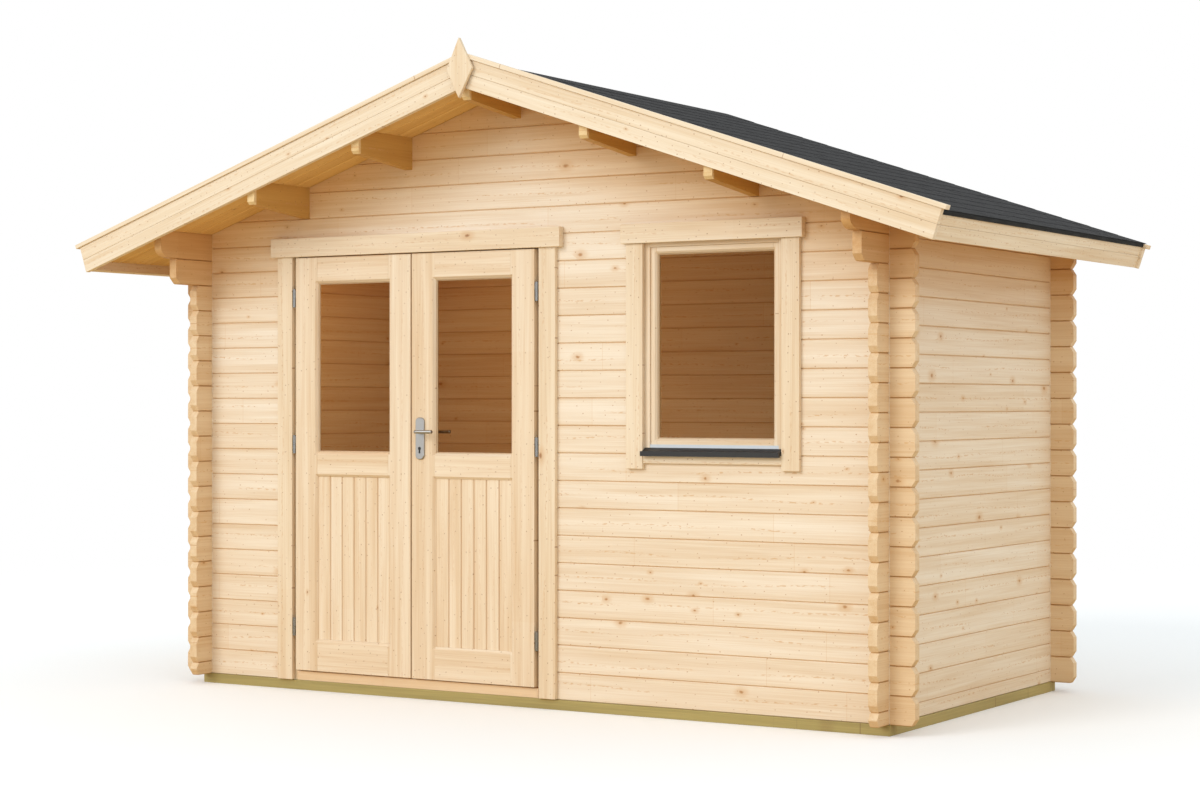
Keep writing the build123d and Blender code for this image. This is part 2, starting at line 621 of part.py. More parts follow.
def handle(x):
    """Plates on both faces of the leaf, and the lever with its spindle through them."""
    place = Pos(x, LEAF_MIDDLE_Y, LEVER_Z)
    bearing = SPINDLE_RADIUS + HINGE_PIN_CLEARANCE
    middle_z = PLATE_HEIGHT * (0.5 - LEVER_TOP_SHARE)
    for sign in (-1, 1):
        plane = Plane(origin=(0, sign * (LEAF_THICKNESS / 2 + PLATE_SEAT), -middle_z), x_dir=(1, 0, 0),
                      z_dir=(0, sign, 0))
        face = RectangleRounded(PLATE_WIDTH, PLATE_HEIGHT, PLATE_ROUND)
        plate = extrude(plane * face, amount=PLATE_THICKNESS)
        front = plate.faces().sort_by(Axis.Y)[0 if sign < 0 else -1]
        plate = chamfer(front.edges(), PLATE_EDGE)
        depth = LEAF_THICKNESS + 2 * PLATE_THICKNESS + OVERRUN
        plate -= Cylinder(bearing, depth, rotation=(90, 0, 0))
        key_z = -KEYHOLE_DROP
        plate -= Pos(0, 0, key_z) * Cylinder(KEYHOLE_RADIUS, depth, rotation=(90, 0, 0))
        plate -= box(-KEYHOLE_SLOT_WIDTH / 2, KEYHOLE_SLOT_WIDTH / 2, -depth / 2, depth / 2,
                     key_z - KEYHOLE_SLOT, key_z)
        add("handle_plates", place * plate)
    length = LEAF_THICKNESS + 2 * (PLATE_SEAT + PLATE_THICKNESS + COLLAR_CLEARANCE) + 2 * LEVER_RADIUS
    spindle = Cylinder(SPINDLE_RADIUS, length, rotation=(90, 0, 0))
    add("lever_handle", place * (lever_side(-1) + spindle + lever_side(1)))


def window():
    """Frame, sash and pane in the wall, with the casing boards, the sill rail and the drip strip outside."""
    low = WINDOW_CENTRE - WINDOW_OPENING_HALF + OPENING_CLEARANCE
    high = WINDOW_CENTRE + WINDOW_OPENING_HALF - OPENING_CLEARANCE
    bottom = WINDOW_SILL + RAIL_SEAM
    top = WINDOW_HEAD - OPENING_CLEARANCE
    frame_y = FRONT_Y + WINDOW_FRAME_SETBACK
    width = WINDOW_FRAME_WIDTH
    ring(("window_frame", low, high, bottom, top), (width, width), frame_y, WINDOW_FRAME_DEPTH)
    low += width + RAIL_SEAM
    high -= width + RAIL_SEAM
    bottom += width + RAIL_SEAM
    top -= width + RAIL_SEAM
    sash_y = FRONT_Y + SASH_SETBACK
    ring(("window_sash", low, high, bottom, top), (SASH_WIDTH, SASH_BOTTOM_RAIL), sash_y, SASH_THICKNESS,
         SASH_BEVEL)
    pane_y = sash_y + SASH_THICKNESS / 2
    inset = SASH_WIDTH + GLASS_CLEARANCE
    half = GLASS_THICKNESS / 2
    add("window_glass", box(low + inset, high - inset, pane_y - half, pane_y + half,
                            bottom + SASH_BOTTOM_RAIL + GLASS_CLEARANCE, top - inset))
    add("window_drip", box(low, high, sash_y - DRIP_DEPTH, sash_y, bottom, bottom + DRIP_HEIGHT))
    window_casing()
    window_sill(frame_y - RAIL_SEAM, bottom)


def ring(spec, widths, y, depth, bevel=0):
    """A frame of four bars, stiles outside: spec is its name and edges, widths its stiles' and bottom's."""
    name, low, high, bottom, top = spec
    side, base = widths
    bars = [box(low, low + side, y, y + depth, bottom, top),
            box(high - side, high, y, y + depth, bottom, top),
            box(low + side + RAIL_SEAM, high - side - RAIL_SEAM, y, y + depth, bottom, bottom + base),
            box(low + side + RAIL_SEAM, high - side - RAIL_SEAM, y, y + depth, top - side, top)]
    for bar in bars:
        if bevel:
            bar -= sticking_bevel(low + side, high - side, bottom + base, top - side, y, bevel, 1)
        add(name, bar)


def window_casing():
    """Header over two side boards that run down past the sill, and the apron board between them."""
    front = FRONT_Y - CASING_THICKNESS
    outer = WINDOW_HALF + WINDOW_CASING_WIDTH
    reach = outer + WINDOW_HEADER_OVER
    head_top = HEADER_BOTTOM + WINDOW_HEADER_HEIGHT
    add("window_casing", box(WINDOW_CENTRE - reach, WINDOW_CENTRE + reach, FRONT_Y - HEADER_THICKNESS,
                             FRONT_Y, HEADER_BOTTOM, head_top))
    for start in (WINDOW_CENTRE - outer, WINDOW_CENTRE + WINDOW_HALF):
        add("window_casing", box(start, start + WINDOW_CASING_WIDTH, front, FRONT_Y, WINDOW_CASING_BOTTOM,
                                 HEADER_BOTTOM - RAIL_SEAM))
    inner = WINDOW_HALF - RAIL_SEAM
    add("window_casing", box(WINDOW_CENTRE - inner, WINDOW_CENTRE + inner, FRONT_Y - APRON_THICKNESS,
                             FRONT_Y, WINDOW_SILL - APRON_HEIGHT, WINDOW_SILL))


def window_sill(back, top):
    """Dark rail under the sash: a sloping leaf with a square bar along its front edge."""
    front = FRONT_Y - SILL_REACH
    bar_back = front + SILL_BAR_DEPTH
    bar_top = top - SILL_FALL
    bar_bottom = bar_top - SILL_BAR_HEIGHT
    profile = outline((back, top), (bar_back, bar_top), (front, bar_top), (front, bar_bottom),
                      (bar_back, bar_bottom), (bar_back, bar_top - SILL_LEAF), (back, top - SILL_LEAF))
    half = WINDOW_HALF - SILL_END_GAP
    start = Plane.YZ.offset(WINDOW_CENTRE - half)
    add("window_sill", extrude(start * profile, amount=2 * half))


def build():
    """Make every piece."""
    foundation()
    side_wall("left_wall", -SIDE_X + LOG_THICKNESS / 2)
    side_wall("right_wall", SIDE_X - LOG_THICKNESS / 2)
    back_wall()
    front_wall()
    purlins()
    roof()
    finial()
    door_frame()
    handle_x = DOOR_CENTRE + LEAF_GAP / 2 + LEVER_BACKSET
    door_leaf("left_door", DOOR_CENTRE - DOOR_HALF)
    door_leaf("right_door", DOOR_CENTRE + LEAF_GAP / 2, handle_x)
    hinges("left_door", -1)
    hinges("right_door", 1)
    handle(handle_x)
    window()


build()
os.makedirs("parts", exist_ok=True)
for node, solids in nodes.items():
    export_step(Compound(solids), f"parts/{node}.step")
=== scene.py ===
import logging
import math
from dataclasses import dataclass, field
from enum import Enum
from typing import Sequence

import bmesh
import bpy
import numpy as np
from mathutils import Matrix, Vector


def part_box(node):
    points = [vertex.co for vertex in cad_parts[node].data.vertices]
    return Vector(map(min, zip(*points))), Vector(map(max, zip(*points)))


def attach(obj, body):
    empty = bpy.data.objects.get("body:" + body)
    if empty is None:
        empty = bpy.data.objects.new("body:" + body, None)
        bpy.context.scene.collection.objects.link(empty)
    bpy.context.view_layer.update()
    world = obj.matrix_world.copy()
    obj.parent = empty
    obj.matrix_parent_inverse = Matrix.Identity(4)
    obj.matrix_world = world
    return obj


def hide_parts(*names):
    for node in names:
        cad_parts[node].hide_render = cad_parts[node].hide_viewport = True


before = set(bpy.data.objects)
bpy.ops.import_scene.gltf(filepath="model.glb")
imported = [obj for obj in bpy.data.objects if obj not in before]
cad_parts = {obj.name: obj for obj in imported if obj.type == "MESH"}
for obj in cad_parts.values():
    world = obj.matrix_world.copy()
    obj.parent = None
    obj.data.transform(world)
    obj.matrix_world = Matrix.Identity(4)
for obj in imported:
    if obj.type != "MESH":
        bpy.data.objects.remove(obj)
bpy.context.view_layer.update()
log = logging.getLogger("shed")

Socket = bpy.types.NodeSocket
Value = float | Sequence[float] | Socket
Triple = tuple[float, float, float]
Colour = Triple
Span = tuple[float, float]
Shape = tuple[np.ndarray, list[list[int]]]

WHITE = (1.0, 1.0, 1.0)
ROOF_PITCH = math.radians(18.5)
ROOF_APEX = 2.60316
FLAT_ANGLE = math.radians(0.4)
SHARP_ANGLE = math.radians(35)
STEEP = 0.9


class Wiring:
    """Adds nodes to one shader tree and joins their sockets."""

    def __init__(self, tree: bpy.types.NodeTree) -> None:
        """Keep the tree that the nodes go into."""
        self.tree = tree

    def node(self, kind: str, settings: dict[str, object] | None = None, **inputs: Value) -> bpy.types.Node:
        """Add a node, with its settings and inputs.

        Args:
            kind: The node's type without the ShaderNode prefix.
            settings: Properties of the node itself.
            inputs: Values or sockets by input name.

        Returns:
            The new node.
        """
        made = self.tree.nodes.new("ShaderNode" + kind)
        for name, value in (settings or {}).items():
            setattr(made, name, value)
        self.fill(made, **inputs)
        return made

    def fill(self, node: bpy.types.Node, **inputs: Value) -> None:
        """Feed a node's inputs by their names, with spaces written as underscores."""
        for name, value in inputs.items():
            self.feed(node.inputs[name.replace("_", " ")], value)

    def feed(self, socket: Socket, value: Value) -> None:
        """Give an input a value, or a link where the value is a socket.

        Args:
            socket: The input.
            value: What it gets. Three numbers for a colour get a full alpha.
        """
        if isinstance(value, bpy.types.NodeSocket):
            self.tree.links.new(value, socket)
        elif isinstance(value, tuple) and len(value) == 3 and socket.type == "RGBA":
            socket.default_value = (*value, 1.0)
        else:
            socket.default_value = value

    def math(self, operation: str, first: Value, second: Value = 0.0, third: Value = 0.0) -> Socket:
        """One sum on two or three values.

        Args:
            operation: The Math node's operation.
            first: First value or socket.
            second: Second value or socket.
            third: Third value or socket, where the operation has one.

        Returns:
            The result's socket.
        """
        made = self.node("Math", {"operation": operation})
        for socket, value in zip(made.inputs, (first, second, third)):
            self.feed(socket, value)
        return made.outputs[0]

    def vector(self, operation: str, first: Value, second: Value) -> Socket:
        """One sum on two vectors.

        Args:
            operation: The Vector Math node's operation.
            first: First vector or socket.
            second: Second vector or socket.

        Returns:
            The result's vector socket.
        """
        made = self.node("VectorMath", {"operation": operation})
        self.feed(made.inputs[0], first)
        self.feed(made.inputs[1], second)
        return made.outputs[0]

    def times(self, first: Value, second: Value) -> Socket:
        """The product of two values."""
        return self.math("MULTIPLY", first, second)

    def plus(self, first: Value, second: Value) -> Socket:
        """The sum of two values."""
        return self.math("ADD", first, second)

    def stretched(self, first: Value, second: Value) -> Socket:
        """A vector multiplied by another, axis by axis."""
        return self.vector("MULTIPLY", first, second)

    def attribute(self, name: str, output: str = "Fac") -> Socket:
        """An attribute of the mesh, as a number, or as the output that is named."""
        return self.node("Attribute", {"attribute_name": name}).outputs[output]

    def step(self, value: Value, low: Value, high: Value, out: Span = (0.0, 1.0)) -> Socket:
        """A smooth step of a value between low and high, from the first to the second number of out."""
        made = self.node("MapRange", {"interpolation_type": "SMOOTHSTEP"}, Value=value, From_Min=low,
                         From_Max=high, To_Min=out[0], To_Max=out[1])
        return made.outputs[0]

    def mix(self, share: Value, first: Value, second: Value, blend: str = "MIX") -> Socket:
        """Mix two colours.

        Args:
            share: How much of the second colour shows.
            first: First colour or socket.
            second: Second colour or socket.
            blend: The Mix node's blend type.

        Returns:
            The mixed colour's socket.
        """
        made = self.node("Mix", {"data_type": "RGBA", "blend_type": blend})
        self.feed(made.inputs[0], share)
        self.feed(made.inputs[6], first)
        self.feed(made.inputs[7], second)
        return made.outputs[2]

    def tinted(self, share: Value, colour: Socket, tint: Colour) -> Socket:
        """Multiply a colour by a tint as far as a mask says so."""
        return self.mix(share, colour, self.mix(1.0, colour, tint, "MULTIPLY"))

    def noise(self, vector: Socket, scale: float, detail: float = 2.0, distortion: float = 0.0) -> Socket:
        """Noise on a vector, with so many features to its unit, octaves of finer noise, and bent so far."""
        made = self.node("TexNoise", Vector=vector, Scale=scale, Detail=detail, Distortion=distortion)
        return made.outputs[0]


def shader_group(name: str, inputs: dict[str, str],
                 outputs: Sequence[str]) -> tuple[bpy.types.NodeTree, Wiring]:
    """Start a shader node group with named sockets.

    Args:
        name: The group's name.
        inputs: Input names and their socket types.
        outputs: Names of the outputs, all values.

    Returns:
        The group and its wiring.
    """
    tree = bpy.data.node_groups.new(name, "ShaderNodeTree")
    for title, kind in inputs.items():
        tree.interface.new_socket(title, in_out="INPUT", socket_type=kind)
    for title in outputs:
        tree.interface.new_socket(title, in_out="OUTPUT", socket_type="NodeSocketFloat")
    return tree, Wiring(tree)


@dataclass(frozen=True)
class SprucePattern:
    """The pattern of sawn spruce along a board: streaks, knots, pin dots, pith flecks and finger joints.

    Triples go along, across and through the board. Pairs are where a mask starts and ends, or a factor and
    what is added to it.
    """

    seed: float = 61.7
    seed_turns: Span = (0.37, 0.73)
    broad: Triple = (0.7, 17.0, 17.0)
    middle: Triple = (1.5, 62.0, 62.0)
    fine: Triple = (3.0, 230.0, 230.0)
    streak_shares: Triple = (0.46, 0.26, 0.28)
    wobble: float = 60.0
    wobble_reach: Triple = (0.010, 0.006, 0.0)
    knot_stretch: Triple = (0.62, 1.0, 0.0)
    knot_cells: float = 7.5
    knot_size: Span = (0.062, 0.024)
    knot_core: float = 0.2
    halo_size: Span = (3.4, 0.7)
    pin_stretch: Triple = (0.8, 1.0, 0.0)
    pin_cells: float = 27.0
    pin_size: Span = (0.042, 0.048)
    pin_core: float = 0.5
    pin_share: float = 0.7
    pith_drift: float = 1.1
    pith_reach: Span = (0.05, -0.025)
    pith_turn: float = 7.31
    pith_lift: Span = (0.03, -0.015)
    pith_width: Span = (0.0055, 0.0015)
    dashes: Triple = (46.0, 160.0, 0.0)
    dash_span: Span = (0.50, 0.60)
    stretches: float = 2.3
    stretch_span: Span = (0.36, 0.50)
    lengths: float = 0.9
    joint_width: Span = (0.0016, 0.0005)
    relief: Span = (0.5, -0.4)

    def group(self) -> bpy.types.NodeTree:
        """Build the node group.

        Returns:
            The group. Its Grain input is a place on the board in metres, X along the grain.
        """
        numbers = dict.fromkeys(("Board", "Knots", "Flecks", "Pins"), "NodeSocketFloat")
        tree, wire = shader_group("spruce_pattern", {"Grain": "NodeSocketVector", **numbers},
                                  ("Streak", "Segment", "Halo", "Knot", "Fleck", "Joint", "Height"))
        given = tree.nodes.new("NodeGroupInput").outputs
        seed = wire.times(given["Board"], self.seed)
        second, third = (wire.times(seed, turn) for turn in self.seed_turns)
        shift = wire.node("CombineXYZ", X=seed, Y=second, Z=third)
        place = wire.vector("ADD", given["Grain"], shift.outputs[0])
        along = wire.node("SeparateXYZ", Vector=place).outputs[0]
        across = wire.node("SeparateXYZ", Vector=given["Grain"]).outputs[1]
        streak, fine = self.streaks(wire, place)
        halo, core = self.knots(wire, place, given["Knots"])
        dots = self.pins(wire, place, given["Pins"])
        knot = wire.math("MAXIMUM", core, wire.times(dots, self.pin_share))
        away = self.off_pith(wire, along, across, given["Board"])
        fleck = self.flecks(wire, place, along, away)
        segment, joint = self.joints(wire, along)
        height = wire.plus(wire.times(fine, self.relief[0]), wire.times(knot, self.relief[1]))
        found = {"Streak": streak, "Segment": segment, "Halo": halo, "Knot": knot, "Joint": joint,
                 "Fleck": wire.times(fleck, given["Flecks"]), "Height": height}
        out = tree.nodes.new("NodeGroupOutput")
        for name, socket in found.items():
            wire.feed(out.inputs[name], socket)
        return tree

    def streaks(self, wire: Wiring, place: Socket) -> tuple[Socket, Socket]:
        """Year rings cut lengthwise: a sum of broad, middling and fine noise drawn out along the grain.

        Args:
            wire: The group's wiring.
            place: The place on the board.

        Returns:
            The streaks, and their fine part alone.
        """
        broad = wire.noise(wire.stretched(place, self.broad), 1.0, 4.0, 0.5)
        middle = wire.noise(wire.stretched(place, self.middle), 1.0, 3.0, 0.3)
        fine = wire.noise(wire.stretched(place, self.fine), 1.0, 2.0)
        shares = zip((broad, middle, fine), self.streak_shares)
        first, second, third = (wire.times(part, share) for part, share in shares)
        return wire.plus(wire.plus(first, second), third), fine

    def cells(self, wire: Wiring, place: Socket, scale: float) -> tuple[Socket, Sequence[Socket]]:
        """Flat cells, so many to a metre: the distance from a cell's middle, and its random numbers."""
        cell = wire.node("TexVoronoi", {"voronoi_dimensions": "2D"}, Vector=place, Scale=scale).outputs
        return cell["Distance"], wire.node("SeparateColor", Color=cell["Color"]).outputs

    def knots(self, wire: Wiring, place: Socket, chance: Socket) -> tuple[Socket, Socket]:
        """Knots in some cells of a bent cell pattern: a dark core in a wider halo.

        Args:
            wire: The group's wiring.
            place: The place on the board.
            chance: Share of the cells that hold a knot.

        Returns:
            Masks of the halos and of the cores.
        """
        wobble = wire.node("TexNoise", Vector=place, Scale=self.wobble, Detail=1.0).outputs["Color"]
        bent = wire.vector("ADD", place, wire.stretched(wobble, self.wobble_reach))
        bent = wire.stretched(bent, self.knot_stretch)
        cell, draw = self.cells(wire, bent, self.knot_cells)
        present = wire.math("LESS_THAN", draw[0], chance)
        radius = wire.math("MULTIPLY_ADD", wire.math("POWER", draw[1], 2.0), *self.knot_size)
        core = wire.step(cell, radius, wire.times(radius, self.knot_core))
        halo = wire.step(cell, *(wire.times(radius, size) for size in self.halo_size))
        return wire.times(halo, present), wire.times(core, present)

    def pins(self, wire: Wiring, place: Socket, chance: Socket) -> Socket:
        """Pin dots in some cells of a finer cell pattern.

        Args:
            wire: The group's wiring.
            place: The place on the board.
            chance: Share of the cells that hold a dot.

        Returns:
            The dots' mask.
        """
        flat = wire.stretched(place, self.pin_stretch)
        cell, draw = self.cells(wire, flat, self.pin_cells)
        size = wire.math("MULTIPLY_ADD", draw[1], *self.pin_size)
        dot = wire.step(cell, size, wire.times(size, self.pin_core))
        return wire.times(dot, wire.math("LESS_THAN", draw[0], chance))

    def off_pith(self, wire: Wiring, along: Socket, across: Socket, board: Socket) -> Socket:
        """Distance from the row of pith flecks, which drifts and lies elsewhere on each board.

        Args:
            wire: The group's wiring.
            along: The place along the board.
            across: The place across it, from its middle.
            board: The board's number.

        Returns:
            The distance's socket.
        """
        drift = wire.node("TexNoise", {"noise_dimensions": "1D"}, W=along, Scale=self.pith_drift, Detail=1.0)
        row = wire.math("MULTIPLY_ADD", drift.outputs[0], *self.pith_reach)
        turn = wire.math("FRACT", wire.times(board, self.pith_turn))
        lift = wire.math("MULTIPLY_ADD", turn, *self.pith_lift)
        return wire.math("ABSOLUTE", wire.math("SUBTRACT", across, wire.plus(row, lift)))

    def flecks(self, wire: Wiring, place: Socket, along: Socket, away: Socket) -> Socket:
        """A row of short dashes, broken into stretches.

        Args:
            wire: The group's wiring.
            place: The place on the board.
            along: The place along the board.
            away: Distance from the row.

        Returns:
            The dashes' mask.
        """
        dash = wire.step(wire.noise(wire.stretched(place, self.dashes), 1.0, 1.0), *self.dash_span)
        long = wire.node("TexNoise", {"noise_dimensions": "1D"}, W=along, Scale=self.stretches, Detail=0.0)
        stretch = wire.step(long.outputs[0], *self.stretch_span)
        return wire.times(wire.times(wire.step(away, *self.pith_width), dash), stretch)

    def joints(self, wire: Wiring, along: Socket) -> tuple[Socket, Socket]:
        """Finger joints between the lengths that a board is glued from.

        Args:
            wire: The group's wiring.
            along: The place along the board.

        Returns:
            A number for each length, and the joints' mask.
        """
        edge = wire.node("TexVoronoi", {"voronoi_dimensions": "1D", "feature": "DISTANCE_TO_EDGE"}, W=along,
                         Scale=self.lengths)
        length = wire.node("TexVoronoi", {"voronoi_dimensions": "1D"}, W=along, Scale=self.lengths)
        number = wire.node("SeparateColor", Color=length.outputs["Color"]).outputs[1]
        return number, wire.step(edge.outputs["Distance"], *self.joint_width)


def new_material(name: str) -> tuple[bpy.types.Material, Wiring, bpy.types.Node]:
    """Start a material with nothing but a Principled surface.

    Args:
        name: The material's name.

    Returns:
        The material, its wiring and its Principled node.
    """
    made = bpy.data.materials.new(name)
    made.use_nodes = True
    made.node_tree.nodes.clear()
    wire = Wiring(made.node_tree)
    surface = wire.node("BsdfPrincipled")
    wire.node("OutputMaterial", Surface=surface.outputs[0])
    return made, wire, surface


def see_through(wire: Wiring, surface: bpy.types.Node, share: Socket, colour: Colour) -> None:
    """Let a surface give way to a clear sheet where a mask says so.

    Args:
        wire: The material's wiring.
        surface: Its Principled node.
        share: The mask.
        colour: The clear sheet's tint.
    """
    both = wire.node("MixShader", Fac=share)
    wire.feed(both.inputs[1], surface.outputs[0])
    wire.feed(both.inputs[2], wire.node("BsdfTransparent", Color=colour).outputs[0])
    sink = next(item for item in wire.tree.nodes if item.type == "OUTPUT_MATERIAL")
    wire.feed(sink.inputs["Surface"], both.outputs[0])


@dataclass(frozen=True)
class WoodFinish:
    """Planed spruce, with colours in linear light."""

    name: str
    pale: Colour = (0.86, 0.68, 0.46)
    warm: Colour = (0.76, 0.53, 0.29)
    tint: Colour = (0.95, 0.90, 0.83)
    knot: Colour = (0.33, 0.145, 0.05)
    halo: Colour = (0.60, 0.33, 0.13)
    knots: float = 0.24
    flecks: float = 1.0
    joints: float = 0.0
    pins: float = 0.5
    # seam: width of a line of painted shade in the grooves along a board's long edges.
    seam: float = 0.0
    # The end tone is painted shade on the log ends past the walls' corners, and painted light on the beams'
    # lit noses.
    painted_end_tone: Colour = WHITE
    end_span: Span = (0.0161, 0.014)
    streak_span: Span = (0.33, 0.71)
    tint_turn: float = 13.7
    halo_share: float = 0.42
    knot_share: float = 0.9
    fleck_share: float = 0.75
    # Strength and core of the painted shade in the grooves.
    seam_shade_share: float = 0.8
    seam_shade_core: float = 0.4
    gloss_span: Span = (0.3, 0.8)
    roughness: Span = (0.57, 0.70)
    bump: float = 0.25
    bump_height: float = 0.0012

    def rim(self, wire: Wiring, across: Socket) -> Socket:
        """Distance from the nearer long edge of the board, by its half attribute."""
        return wire.math("SUBTRACT", wire.attribute("half"), wire.math("ABSOLUTE", across))

    def toned(self, wire: Wiring, colour: Socket, place: Sequence[Socket]) -> Socket:
        """Tint the cut ends, what is less than the span from either end of a board, with painted light: it
        brightens the lit noses of the beams, whose colour is painted shade.

        Args:
            wire: The material's wiring.
            colour: The wood's colour.
            place: Places along and across the grain from the board's middle.

        Returns:
            The tinted colour's socket.
        """
        if self.painted_end_tone == WHITE:
            return colour
        left = wire.math("SUBTRACT", wire.attribute("reach"), wire.math("ABSOLUTE", place[0]))
        return wire.tinted(wire.step(left, *self.end_span), colour, self.painted_end_tone)

    def material(self, pattern: bpy.types.NodeTree) -> bpy.types.Material:
        """Make the material.

        Args:
            pattern: The spruce pattern group.

        Returns:
            The material, which reads the piece's grain, board, reach and half attributes.
        """
        made, wire, surface = new_material(self.name)
        grain = wire.attribute("grain", "Vector")
        board = wire.attribute("board")
        group = wire.node("Group", {"node_tree": pattern}, Grain=grain, Board=board, Knots=self.knots,
                          Flecks=self.flecks, Pins=self.pins).outputs
        place = wire.node("SeparateXYZ", Vector=grain).outputs
        colour = wire.mix(wire.step(group["Streak"], *self.streak_span), self.pale, self.warm)
        turn = wire.math("FRACT", wire.times(board, self.tint_turn))
        level = wire.times(wire.plus(turn, group["Segment"]), 0.5)
        colour = self.toned(wire, wire.tinted(level, colour, self.tint), place)
        layers = (("Halo", self.halo_share, self.halo), ("Knot", self.knot_share, self.knot),
                  ("Fleck", self.fleck_share, self.halo), ("Joint", self.joints, self.halo))
        for mask, share, shade in layers:
            colour = wire.mix(wire.times(group[mask], share), colour, shade)
        # Painted shade in the grooves: a dark line along the board's long edges.
        if self.seam:
            rim = self.rim(wire, place[1])
            line = wire.step(rim, self.seam, self.seam * self.seam_shade_core, (0.0, self.seam_shade_share))
            colour = wire.mix(line, colour, self.halo)
        bump = wire.node("Bump", Strength=self.bump, Distance=self.bump_height, Height=group["Height"])
        gloss = wire.step(group["Streak"], *self.gloss_span, self.roughness)
        wire.fill(surface, Base_Color=colour, Roughness=gloss, Normal=bump.outputs[0])
        return made


@dataclass(frozen=True)
class LogFinish(WoodFinish):
    """Spruce logs with painted shade: darker rims, darker ends and end joints where they run on past the
    walls' corners, and warmer close under the roof.
    """

    side: float = 1.7115
    front: float = -0.7025
    back: float = 1.0205
    blur: float = 0.001
    # Painted shade close under the roof: a warm darkening that fades out over the span below the roof's
    # underside.
    eaves_painted_shade: Colour = (0.88, 0.68, 0.42)
    eaves_shade_span: float = 0.48
    # Painted shade along each log's rims, as on a rounded face.
    rim_painted_shade: Colour = (0.978, 0.955, 0.92)
    rim_shade_span: float = 0.032
    # Painted shade in the joints between the log ends past the corners.
    joint_painted_shade: Colour = (0.60, 0.47, 0.34)
    joint_shade_span: float = 0.0034

    def toned(self, wire: Wiring, colour: Socket, place: Sequence[Socket]) -> Socket:
        """Paint shade on the rims of the logs, on what lies outside the walls' faces and in its joints, and
        close below the roof.

        Args:
            wire: The material's wiring.
            colour: The wood's colour.
            place: Places along and across the grain from the log's middle.

        Returns:
            The tinted colour's socket.
        """
        rim = self.rim(wire, place[1])
        spot = wire.node("SeparateXYZ", Vector=wire.node("TexCoord").outputs["Object"]).outputs
        width = wire.math("ABSOLUTE", spot[0])
        depth = wire.math("ABSOLUTE", wire.math("SUBTRACT", spot[1], (self.front + self.back) / 2))
        deepest = (self.back - self.front) / 2
        ends = wire.math("MAXIMUM", wire.step(width, self.side, self.side + self.blur),
                         wire.step(depth, deepest, deepest + self.blur))
        # Painted shade in the joints between the log ends past the corners.
        lines = wire.times(ends, wire.step(rim, self.joint_shade_span, self.joint_shade_span / 3))
        # Painted shade close under the roof, fading over the span below it.
        roof = wire.math("MULTIPLY_ADD", width, -math.tan(ROOF_PITCH), ROOF_APEX)
        below = wire.step(wire.math("SUBTRACT", roof, spot[2]), self.eaves_shade_span, 0.0)
        # Painted shade along the rims of every log.
        colour = wire.tinted(wire.step(rim, self.rim_shade_span, 0.0), colour, self.rim_painted_shade)
        # Painted shade on the log ends past the walls' corners.
        colour = wire.tinted(ends, colour, self.painted_end_tone)
        colour = wire.tinted(lines, colour, self.joint_painted_shade)
        return wire.tinted(below, colour, self.eaves_painted_shade)


@dataclass(frozen=True)
class FeltFinish:
    """Mineral roofing felt: near black, with short patches along the eaves and fine grit."""

    name: str
    dark: Colour = (0.010, 0.0105, 0.0115)
    light: Colour = (0.031, 0.0325, 0.035)
    patches: Triple = (52.0, 9.0, 52.0)
    patch_span: Span = (0.36, 0.68)
    patch_share: float = 0.55
    grit: float = 700.0
    grit_span: Span = (0.35, 0.75)
    grit_share: float = 0.45
    relief: Span = (0.5, 0.35)
    bump: float = 0.5
    bump_height: float = 0.003
    roughness: float = 0.92
    gloss: float = 0.25

    def material(self) -> bpy.types.Material:
        """Make the material, on Object coordinates, with its patches along Y.

        Returns:
            The material.
        """
        made, wire, surface = new_material(self.name)
        place = wire.node("TexCoord").outputs["Object"]
        patch = wire.noise(wire.stretched(place, self.patches), 1.0, 3.0)
        grit = wire.noise(place, self.grit, 1.0)
        share = wire.plus(wire.step(patch, *self.patch_span, (0.0, self.patch_share)),
                          wire.step(grit, *self.grit_span, (0.0, self.grit_share)))
        height = wire.plus(wire.times(patch, self.relief[0]), wire.times(grit, self.relief[1]))
        bump = wire.node("Bump", Strength=self.bump, Distance=self.bump_height, Height=height)
        wire.fill(surface, Base_Color=wire.mix(share, self.dark, self.light), Roughness=self.roughness,
                  Specular_IOR_Level=self.gloss, Normal=bump.outputs[0])
        return made


@dataclass(frozen=True)
class MetalFinish:
    """Satin or painted metal with a faint brushed unevenness."""

    name: str
    colour: Colour
    shade: Colour
    metallic: float
    roughness: float
    brush: Triple = (60.0, 60.0, 900.0)
    blotches: float = 45.0
    gloss_span: Span = (0.25, 0.75)
    smoother: float = 0.07
    rougher: float = 0.09
    bump: float = 0.12
    bump_height: float = 0.0004

    def material(self) -> bpy.types.Material:
        """Make the material, on Object coordinates.

        Returns:
            The material.
        """
        made, wire, surface = new_material(self.name)
        place = wire.node("TexCoord").outputs["Object"]
        lines = wire.noise(wire.stretched(place, self.brush), 1.0, 3.0)
        blotch = wire.noise(place, self.blotches, 2.0)
        share = wire.times(wire.plus(lines, blotch), 0.5)
        gloss = (self.roughness - self.smoother, self.roughness + self.rougher)
        bump = wire.node("Bump", Strength=self.bump, Distance=self.bump_height, Height=lines)
        wire.fill(surface, Base_Color=wire.mix(share, self.colour, self.shade), Metallic=self.metallic,
                  Roughness=wire.step(share, *self.gloss_span, gloss), Normal=bump.outputs[0])
        return made


@dataclass(frozen=True)
class GlassFinish:
    """Clear pane that lets lamplight through to the room."""

    name: str
    tint: Colour = (0.97, 0.985, 0.98)
    light: Colour = (0.88, 0.77, 0.58)
    ior: float = 1.12

    def material(self) -> bpy.types.Material:
        """Make the material: clear glass, but a warm see-through sheet to light on its way into the room.

        Returns:
            The material.
        """
        made, wire, surface = new_material(self.name)
        wire.fill(surface, Base_Color=self.tint, Roughness=0.0, Transmission_Weight=1.0, IOR=self.ior)
        path = wire.node("LightPath").outputs
        rays = wire.math("MAXIMUM", path["Is Shadow Ray"], path["Is Diffuse Ray"])
        see_through(wire, surface, rays, self.light)
        return made


